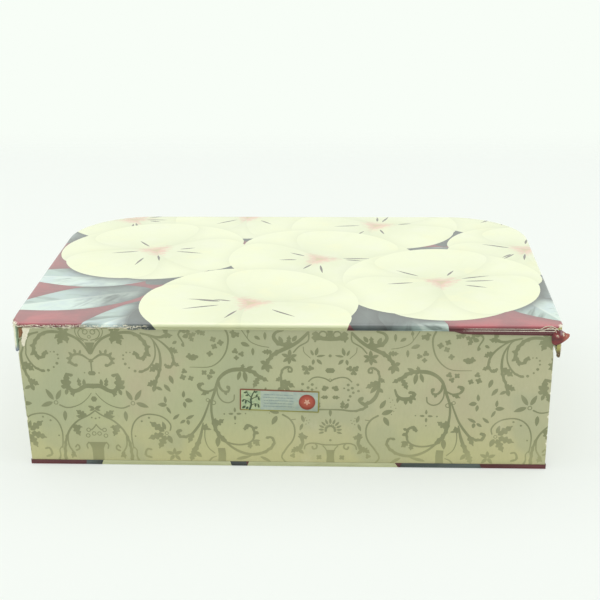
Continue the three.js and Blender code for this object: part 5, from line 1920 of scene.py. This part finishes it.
class OBJECT_OT_box_cover(bpy.types.Operator):
    """The glossy flowered paper on the lid and through the fold onto the back wall"""

    bl_idname = "object.box_cover"
    bl_label = "Flowered paper of the lid"

    def execute(self, context):
        chance = random.Random(11)
        sheet = Sheet(LID_HALF, LID_SIDEWAYS, COVER_LOW.y, COVER_HIGH.y, LID_CORNER, rim_section(),
                      rear_section())
        shapes = flower_shapes(LID_BLOSSOMS, LID_LEAVES, chance)
        split = next(walked for walked, _out, height in sheet.back_section
                     if abs(height - FOLD_Z - CREASE_HALF) < MERGE_METAL)
        border = sheet.rear + sheet.back_inset - split
        end = sheet.rear - sheet.back_reach
        tongue = [(x, end + z - STRIP_LOW.z) for x, z in STRIP_EDGE]
        worn_edge = ragged([point for point in tongue if FRAYED_LEFT > point[0] > 1 - BODY_HALF], chance)
        tongue = [point for point in tongue if point[0] > FRAYED_LEFT] + [
            (point.x, min(max(point.y, end), border)) for point in worn_edge[:-RAGGED_TAIL]]
        spots = spots_in_grid(*LID_GRID)
        spots.extend(Vector((hand * (LID_HALF - CORNER_STEP * x), COVER_LOW.y + CORNER_STEP * y))
                     for hand in (-1, 1) for x in range(14) for y in range(12))
        outlines = [sheet.border(border, tongue), *(shape[0] for shape in shapes)]
        flat, triangles, tops = cut_sheet(outlines, sheet.folds(), spots)
        near = shades(flat, shapes)

        def wear(_point, folded):
            left = fade(folded.x - FRAYED_LEFT, FRAYED_REACH)
            right = 1 - fade(folded.x - FRAYED_RIGHT, FRAYED_REACH)
            above = folded.z - FOLD_Z
            behind = folded.y < COVER_LOW.y + WORN_BEHIND
            worn = 0.0
            if above > -2 * CREASE_HALF:
                worn = WORN_FOLD * left * fade(folded.y - COVER_LOW.y - WORN_FOLD_START, WORN_FOLD_REACH)
            off_line = min(abs(above + CREASE_HALF), abs(folded.z - LID_TOP + REAR_EDGE))
            if behind and off_line < WORN_LINE:
                worn = max(worn, WORN_CREASE * right)
            corner = hypot(abs(folded.x - LID_SIDEWAYS) - LID_HALF, folded.y - COVER_LOW.y)
            return max(worn, WORN_CORNER * fade(corner - WORN_CORNER_START, WORN_CORNER_REACH))

        # Painted shade, and some soiling, from the rear edge down through the crease onto the wall
        def soil_and_shade(folded):
            if folded.y > COVER_LOW.y + REAR_EDGE:
                return 0.0
            return 1 - fade(LID_TOP - folded.z, LID_TOP - FOLD_Z - CREASE_HALF)

        materials = print_materials()
        lid = []
        strip = []
        for face in zip(triangles, tops):
            low = sum(flat[index].y for index in face[0]) / 3 < border
            (strip if low else lid).append(face)
        shaped = flower_mesh(flat, lid, shapes, near, sheet, wear, soil_and_shade)
        thicken(finish_piece("flower_cover", shaped, materials, "lid", ["lid_cover_paper"], "flower_paper"))
        shaped = flower_mesh(flat, strip, shapes, near, sheet, wear, soil_and_shade)
        piece = finish_piece("fold_strip", shaped, materials, None, ["hinge_strip_outer"], "flower_paper")
        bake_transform(piece)
        thicken(piece)
        return {"FINISHED"}


class OBJECT_OT_box_bottom(bpy.types.Operator):
    """The flowered paper under the box, turned up round its foot"""

    bl_idname = "object.box_bottom"
    bl_label = "Bottom paper"

    def execute(self, context):
        chance = random.Random(51)
        half = BOTTOM_HIGH.x
        section = foot_section()
        sheet = Sheet(half, 0, BOTTOM_LOW.y, BOTTOM_HIGH.y, BODY_CORNER, section, section)
        shapes = flower_shapes(BOTTOM_BLOSSOMS, BOTTOM_LEAVES, chance)
        end = sheet.rear - sheet.back_reach
        outlines = [sheet.border(sheet.rear, [(half, end), (-half, end)]), *(shape[0] for shape in shapes)]
        flat, triangles, tops = cut_sheet(outlines, sheet.folds(), spots_in_grid(*BOTTOM_GRID))

        def wear(point, folded):
            return WORN_FOOT if folded.z < FOOT_EDGE and point.y < sheet.rear + WORN_FOOT_REACH else 0.0

        # Painted shade, and some soiling, where the paper turns under round the foot
        def soil_and_shade(folded):
            return 1 - fade(folded.z, FOOT_EDGE)

        shaped = flower_mesh(flat, zip(triangles, tops), shapes, shades(flat, shapes), sheet, wear, soil_and_shade)
        thicken(finish_piece("bottom_paper", shaped, print_materials(), "base", ["base_bottom_paper"],
                             "bottom_paper"))
        return {"FINISHED"}


class OBJECT_OT_box_wrap(bpy.types.Operator):
    """The scrollwork paper round the walls, printed, turned in at the top and torn at one corner"""

    bl_idname = "object.box_wrap"
    bl_label = "Scroll paper"

    def execute(self, context):
        bottom = WRAP_LOW.z
        plan = Plan(BODY_HALF, BODY_BACK, BODY_FRONT, WRAP_CORNER, BODY_CORNER)
        section = wall_section(bottom, WALL_TOP, WALL_ROUNDING, WALL, TURN_IN)
        start = WRAP_CORNER - BODY_HALF
        cuts = plan.cuts(lambda radius: FRONT_CORNER_STEPS if radius == BODY_CORNER else REAR_CORNER_STEPS)
        cuts.extend(start + step * WRAP_STEP for step in range(1, floor(plan.length / WRAP_STEP)))
        cuts.extend(hand * (BODY_HALF - reach) for reach in WRAP_END_STEPS for hand in (-1, 1))
        levels = [walked for walked, _inset, _height in section[1:-1]]
        levels.extend([bottom + PAPER, PRESSED_LOW, (PRESSED_LOW + PRESSED_HIGH) / 2, PRESSED_HIGH,
                       LEAN_HEIGHT])
        end = start + plan.length
        flat, triangles, shown = printed_sheet(start, end, bottom, section[-1][0], cuts, levels)
        shaped = bmesh.new()
        worn_layer = shaped.verts.layers.float.new("worn")
        corners = []
        for point in flat:
            (x, y), normal = plan.at(point.x)
            inset, height = on_section(section, point.y)
            x -= normal[0] * inset
            y -= normal[1] * inset
            if y < 0:
                x = min(max(x, inset - BODY_HALF), BODY_HALF - inset)
                y = max(y, BODY_BACK + inset)
            corner = shaped.verts.new((x, y, height))
            away = hypot(abs(x) - BODY_HALF, y - BODY_BACK)
            corner[worn_layer] = WORN_WRAP * fade(away - WORN_WRAP_START, WORN_WRAP_REACH)
            corners.append(corner)
        for triangle, kind in zip(triangles, shown):
            if kind < 3:
                face = shaped.faces.new([corners[index] for index in triangle])
                face.material_index = kind
        drop_loose(shaped)
        press(shaped)
        bmesh.ops.remove_doubles(shaped, verts=shaped.verts, dist=MERGE_FOLDED)
        bmesh.ops.dissolve_degenerate(shaped, dist=MERGE_FOLDED, edges=shaped.edges)
        bmesh.ops.recalc_face_normals(shaped, faces=shaped.faces)
        materials = [scroll_paper("scroll_ground", False), scroll_paper("scroll_ink", True), torn_paper()]
        thicken(finish_piece("scroll_wrap", shaped, materials, "base", ["base_wrap_paper"], "scroll_paper"))
        return {"FINISHED"}


class OBJECT_OT_box_label(bpy.types.Operator):
    """The small label on the back wall"""

    bl_idname = "object.box_label"
    bl_label = "Label"

    def execute(self, context):
        middle = (LABEL_LOW + LABEL_HIGH) / 2
        tilt = radians(LABEL_TILT)
        outlines = [[Vector(point) for point in rounded(0, 0, LABEL_WIDTH, LABEL_HEIGHT, LABEL_CORNER, 3)]]
        for stem in TWIG_STEMS:
            outlines.extend(stem_shapes(stem))
        for leaf in TWIG_LEAVES:
            outlines.extend(leaf_shapes(leaf))
        flat, triangles, tops = cut_sheet(outlines)
        shaped = bmesh.new()
        flat_map = shaped.loops.layers.uv.new("flat")
        corners = [shaped.verts.new((middle.x + point.x * cos(tilt) + point.y * sin(tilt), LABEL_LOW.y,
                                     middle.z - point.x * sin(tilt) + point.y * cos(tilt))) for point in flat]
        for triangle, top in zip(triangles, tops):
            face = shaped.faces.new([corners[index] for index in triangle])
            face.material_index = 1 if top else 0
            for loop, index in zip(face.loops, triangle):
                loop[flat_map].uv = flat[index] * MM
        drop_loose(shaped)
        face_back(shaped)
        papers = [label_paper(False), label_paper(True)]
        thicken(finish_piece("label", shaped, papers, "base", ["back_label"], "label_paper"))
        return {"FINISHED"}


class OBJECT_OT_box_inner_hinge(bpy.types.Operator):
    """The inner hinge paper, one strip from the back wall onto the lid"""

    bl_idname = "object.box_inner_hinge"
    bl_label = "Inner hinge paper"

    def execute(self, context):
        front = INNER_HIGH.y
        under = INNER_LID_LOW.z
        bend = INNER_BEND
        path = [(front, INNER_LOW.z + (under - bend - INNER_LOW.z) * step / 4) for step in range(5)]
        path.extend((front + bend * (1 - cos(turn)), under - bend * (1 - sin(turn)))
                    for turn in quarter(12)[1:])
        path.extend((front + bend + (INNER_LID_HIGH.y - front - bend) * step / 4, under)
                    for step in range(1, 5))
        width = INNER_HIGH.x - INNER_LOW.x
        columns = [INNER_LOW.x + width * step / INNER_COLUMNS for step in range(INNER_COLUMNS + 1)]
        shaped = bmesh.new()
        skinned(shaped, [[(x, y, z) for y, z in path] for x in columns])
        face_like_first(shaped, True)
        paper = plain_paper("hinge_paper_plain", tone("dcd6c0"), tone("cfc7aa"))
        piece = finish_piece("inner_hinge", shaped, [paper], None, ["hinge_strip_base", "hinge_strip_lid"],
                             "hinge_paper")
        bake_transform(piece)
        thicken(piece)
        return {"FINISHED"}


class OBJECT_OT_box_rim_ends(bpy.types.Operator):
    """Paper folded over the rear ends of the lid's rim"""

    bl_idname = "object.box_rim_ends"
    bl_label = "Rim ends"

    def execute(self, context):
        foot = RIM_THICKNESS / 2
        levels = [LID_TOP - LID_EDGE - step * RIM_END_STEP for step in range(8)]
        levels.extend(RIM_BOTTOM + foot * (1 - sin(turn)) for turn in quarter(5))
        shaped = bmesh.new()
        for hand in (-1, 1):
            rows = []
            for level in levels:
                half_chord = sqrt(max(foot ** 2 - max(RIM_BOTTOM + foot - level, 0) ** 2, 0))
                middle = LID_SIDEWAYS + hand * (LID_HALF - foot)
                rows.append([(middle + hand * half_chord * share, COVER_LOW.y, level)
                             for share in RIM_END_SHARES])
            skinned(shaped, rows)
        press(shaped, lid=True)
        cleaned(shaped, MERGE_METAL)
        face_back(shaped)
        thicken(finish_piece("rim_ends", shaped, [rim_end_paper()], "lid", slot="flower_paper"))
        return {"FINISHED"}


class OBJECT_OT_box_torn_paper(bpy.types.Operator):
    """Torn paper that stands off the worn fold and the rear corners"""

    bl_idname = "object.box_torn_paper"
    bl_label = "Torn paper"

    def execute(self, context):
        chance = random.Random(8)
        core = torn_paper()
        shaped = bmesh.new()
        for path in TORN_THREADS:
            ribbon(shaped, path_points(path, THREAD_STEP), Vector((0, -THREAD_HALF, THREAD_HALF)))
        for _flake in range(FLAKES // 2):
            flake(shaped, chance, COVER_LOW.y + PAPER / 2, FOLD_Z + CREASE_HALF, LID_TOP - REAR_EDGE / 2)
        thicken(finish_piece("torn_threads", shaped, [core], "lid", slot="flower_paper"), 0.5)

        shaped = bmesh.new()
        for _flake in range(FLAKES):
            flake(shaped, chance, BODY_BACK, FOLD_Z - 2 * CREASE_HALF, FOLD_Z)
        thicken(finish_piece("torn_flakes", shaped, [core], "base", slot="flower_paper"), 0.5)

        shaped = bmesh.new()
        skinned(shaped, TORN_FLAP)
        face_like_first(shaped, False)
        flap = finish_piece("torn_flap", shaped, [torn_print()], "lid", slot="flower_paper", sharp=180)
        smooth = flap.modifiers.new("smooth", "SUBSURF")
        smooth.levels = smooth.render_levels = 3
        thicken(flap)
        return {"FINISHED"}


class OBJECT_OT_box_latch(bpy.types.Operator):
    """The latch: hinge plate and pin on the lid, hasp on the pin, catch plate on the wall"""

    bl_idname = "object.box_latch"
    bl_label = "Latch"

    def execute(self, context):
        metal = brass()
        pin = (PIN_LOW + PIN_HIGH) / 2

        low = pin.z + KNUCKLE_RADIUS * 0.4
        height = HINGE_PLATE_HIGH.z - low
        width = HINGE_PLATE_HIGH.x - HINGE_PLATE_LOW.x
        outline = [(x, z if z > low + height / 2 else max(z, pin.z + KNUCKLE_RADIUS * 0.9))
                   for x, z in rounded(pin.x, low + height / 2, width, height, PLATE_CORNER)]
        parts = [stamped([outline], HINGE_PLATE_LOW.y)]
        for hand in (-1, 1):
            start = hand * (width / 2 - KNUCKLE_WIDTH / 2) - KNUCKLE_WIDTH / 2
            parts.append(bar(pin, start, start + KNUCKLE_WIDTH, KNUCKLE_RADIUS))
        brass_piece("hinge_plate", parts, metal, "lid", "latch_hinge_plate", 28)

        half = (PIN_HIGH.x - PIN_LOW.x) / 2
        shaped = bar(pin, -half, half, PIN_HIGH.z - pin.z, PIN_EASE, 20)
        brass_piece("hinge_pin", [shaped], metal, "lid", "latch_pin")

        catch_z = (CATCH_LOW.z + CATCH_HIGH.z) / 2
        bottom = HASP_LOW.z + LIP_RADIUS
        outline = rounded(pin.x, (bottom + pin.z) / 2, HASP_WIDTH, pin.z - bottom, HASP_CORNER, 2)
        slot = rounded(pin.x, catch_z, SLOT_WIDTH, SLOT_HEIGHT, SLOT_CORNER, 4)
        strap = stamped([outline, slot[::-1]], HASP_LOW.y)
        half = MIDDLE_KNUCKLE_WIDTH / 2
        knuckle = bar(pin, -half, half, KNUCKLE_RADIUS)
        half = HASP_WIDTH / 2
        lip = bar((pin.x, HASP_LOW.y + LIP_RADIUS, bottom), -half, half, LIP_RADIUS, LIP_EASE)
        brass_piece("hasp", [strap, knuckle, lip], metal, "hasp", "latch_hasp", 28)

        size = CATCH_HIGH - CATCH_LOW
        plate = stamped([rounded(0, catch_z, size.x, size.z, PLATE_CORNER)], CATCH_LOW.y)
        start = CATCH_LOW.y + PLATE * 0.5
        side = [(start, catch_z - CATCH_HEIGHT / 2), (CATCH_HIGH.y, catch_z - CATCH_HEIGHT / 2),
                (CATCH_HIGH.y, catch_z + CATCH_HEIGHT / 2 - CATCH_BEVEL),
                (CATCH_HIGH.y - CATCH_BEVEL, catch_z + CATCH_HEIGHT / 2), (start, catch_z + CATCH_HEIGHT / 2)]
        catch = drawn_along_x([side], -CATCH_WIDTH / 2, CATCH_WIDTH)
        ease(catch, CATCH_EASE, 3)
        brass_piece("catch_plate", [plate, catch], metal, "base", "latch_catch_plate", 28)
        return {"FINISHED"}


class OBJECT_OT_box_rivets(bpy.types.Operator):
    """Domed rivets of the latch and the handle's brackets"""

    bl_idname = "object.box_rivets"
    bl_label = "Rivets"

    def execute(self, context):
        metal = brass()
        for node in [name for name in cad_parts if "rivet" in name]:
            low, high = span(node)
            middle = (low + high) / 2
            start = low.y - middle.y
            neck = high.y - middle.y - RIVET_HEAD_HEIGHT
            clinch = start + RIVET_CLINCH_HEIGHT
            profile = [(start, 0.0), (start, RIVET_CLINCH_RADIUS - RIVET_EASE),
                       (start + RIVET_SKIRT, RIVET_CLINCH_RADIUS), (clinch, RIVET_CLINCH_RADIUS),
                       (clinch, RIVET_SHANK_RADIUS), (neck, RIVET_SHANK_RADIUS), (neck, RIVET_HEAD_RADIUS)]
            profile.extend((neck + RIVET_SKIRT + (RIVET_HEAD_HEIGHT - RIVET_SKIRT) * sin(turn),
                            RIVET_HEAD_RADIUS * cos(turn)) for turn in quarter(6))
            shaped = spun(profile, middle, (0, 1, 0), 28)
            brass_piece("dome_" + node, [shaped], metal, "lid" if "hinge" in node else "base", node)
        return {"FINISHED"}


class OBJECT_OT_box_handle(bpy.types.Operator):
    """The handle: brackets, bent wire, ferrules and a stitched leatherette grip"""

    bl_idname = "object.box_handle"
    bl_label = "Handle"

    def execute(self, context):
        metal = brass()
        pivot = Vector((0, (BAIL_LOW.y + BAIL_HIGH.y) / 2, BAIL_HIGH.z - WIRE_RADIUS))
        grip_z = BAIL_LOW.z + WIRE_RADIUS
        for node in ("handle_bracket_left", "handle_bracket_right"):
            self.bracket(node, pivot, metal)
        shaped = tube(self.wire(pivot, grip_z), WIRE_RADIUS)
        ease(shaped, WIRE_EASE, 3, 60)
        brass_piece("bail", [shaped], metal, "handle", "handle_bail")
        for node in ("handle_ferrule_left", "handle_ferrule_right"):
            low, high = span(node)
            half = (high.x - low.x) / 2
            ends = [(0, WIRE_HOLE), *((inset, FERRULE_RADIUS - less) for inset, less in FERRULE_END)]
            shaped = spun([*ended_alike(-half, half, ends), (-half, WIRE_HOLE)], (low + high) / 2, steps=28)
            brass_piece(node.replace("handle_", ""), [shaped], metal, "handle", node)
        self.grip(Vector((0, pivot.y, grip_z)))
        return {"FINISHED"}

    def bracket(self, node, pivot, metal):
        """A plate with round corners and a bored saddle for the wire."""
        low, high = span(node)
        middle = (low + high) / 2
        outline = rounded(middle.x, middle.z, high.x - low.x, high.z - low.z, BRACKET_CORNER)
        plate = stamped([outline], low.y)
        start = low.y + PLATE * 0.5
        arch = [(start + out, pivot.z + SADDLE_RADIUS + up) for out, up in SADDLE_FLARE]
        arch.extend((pivot.y + SADDLE_RADIUS * cos(angle), pivot.z + SADDLE_RADIUS * sin(angle))
                    for angle in (pi / 2 - pi * step / 16 for step in range(17)))
        arch.extend((start + out, pivot.z - SADDLE_RADIUS - up) for out, up in reversed(SADDLE_FLARE))
        hole = circle((pivot.y, pivot.z), WIRE_HOLE)
        saddle = drawn_along_x([arch, hole], low.x + SADDLE_INSET, high.x - low.x - 2 * SADDLE_INSET)
        ease(saddle, SADDLE_EASE, 2, 50)
        brass_piece(node.replace("handle_", ""), [plate, saddle], metal, "base", node, 28)

    def wire(self, pivot, grip_z):
        """Path of the bent wire, from the right bracket round to the left one."""
        leg = BAIL_HIGH.x - WIRE_RADIUS
        inner = span("handle_bracket_right")[0].x - WIRE_PAST_BRACKET
        near = leg - WIRE_BEND
        corners = ((near, pivot.z), (leg, pivot.z), (leg, pivot.z - WIRE_BEND),
                   (leg, grip_z + WIRE_BEND), (leg, grip_z), (near, grip_z))
        corners = [Vector((x, pivot.y, z)) for x, z in corners]
        right = [Vector((inner, pivot.y, pivot.z)), Vector((inner + (near - inner) / 2, pivot.y, pivot.z))]
        for first, corner, last in (corners[:3], corners[3:]):
            right.extend(first * (1 - share) ** 2 + corner * 2 * share * (1 - share) + last * share ** 2
                         for share in (step / 8 for step in range(9)))
        return right + [Vector((-point.x, point.y, point.z)) for point in reversed(right)]

    def grip(self, middle):
        """The swelling grip and the row of stitches along it."""
        half = (GRIP_HIGH - GRIP_LOW) / 2

        def swell(along):
            return GRIP_END_SHARE + (1 - GRIP_END_SHARE) * sin(pi * along)

        ends = ((0, 0.0), (0, GRIP_END_SHARE - 0.1), (GRIP_EASE, GRIP_END_SHARE - 0.02))
        places = [0.012 + 0.976 * ring / 24 for ring in range(25)]
        body = [((along - 0.5) * 2 * half.x, swell(along)) for along in places]
        shaped = spun(ended_alike(-half.x, half.x, ends, body), (0, 0, 0), steps=40)
        bmesh.ops.scale(shaped, vec=(1, half.y, half.z), verts=shaped.verts)
        bmesh.ops.translate(shaped, vec=middle, verts=shaped.verts)
        finish_piece("grip", shaped, [leatherette()], "handle", ["handle_grip"], "grip_leatherette", sharp=50)

        shaped = bmesh.new()
        side = radians(STITCH_SIDE)
        turned = Matrix.Rotation(radians(STITCH_TURN), 4, "Y") @ Matrix.Diagonal((*STITCH_HALVES, 1))
        for stitch in range(STITCHES):
            along = (stitch + 0.5) / STITCHES * 0.92 + 0.04
            place = middle + Vector(((along - 0.5) * 2 * half.x, half.y * swell(along) * cos(side),
                                     half.z * swell(along) * sin(side)))
            made = bmesh.ops.create_icosphere(shaped, subdivisions=1, radius=1)
            bmesh.ops.transform(shaped, matrix=Matrix.Translation(place) @ turned, verts=made["verts"])
        finish_piece("grip_stitches", shaped, [thread()], "handle", slot="grip_leatherette")


class VIEW3D_PT_storage_box(bpy.types.Panel):
    """Buttons that dress the storage box, in order"""

    bl_label = "Storage Box"
    bl_space_type = "VIEW_3D"
    bl_region_type = "UI"
    bl_category = "Storage Box"

    def draw(self, context):
        for operator in OPERATORS:
            self.layout.operator(operator.bl_idname)
        for group in (context.scene.box_colours, context.scene.box_sizes):
            for name in group.__annotations__:
                self.layout.prop(group, name)


OPERATORS = (
    OBJECT_OT_box_stage,
    OBJECT_OT_box_boards,
    OBJECT_OT_box_wrap,
    OBJECT_OT_box_cover,
    OBJECT_OT_box_bottom,
    OBJECT_OT_box_label,
    OBJECT_OT_box_inner_hinge,
    OBJECT_OT_box_rim_ends,
    OBJECT_OT_box_torn_paper,
    OBJECT_OT_box_latch,
    OBJECT_OT_box_rivets,
    OBJECT_OT_box_handle,
)
CLASSES = (BoxColours, BoxSizes, *OPERATORS, VIEW3D_PT_storage_box)


def register():
    for made in CLASSES:
        bpy.utils.register_class(made)
    bpy.types.Scene.box_colours = bpy.props.PointerProperty(type=BoxColours)
    bpy.types.Scene.box_sizes = bpy.props.PointerProperty(type=BoxSizes)


def unregister():
    del bpy.types.Scene.box_sizes
    del bpy.types.Scene.box_colours
    for made in reversed(CLASSES):
        bpy.utils.unregister_class(made)


def main():
    register()
    for operator in OPERATORS:
        group, action = operator.bl_idname.split(".")
        getattr(getattr(bpy.ops, group), action)()
    boxes = {"cad": CAD_BOX, "visual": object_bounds()}
    {name: [list(corner) for corner in box] for name, box in boxes.items()}


if __name__ == "__main__":
    main()
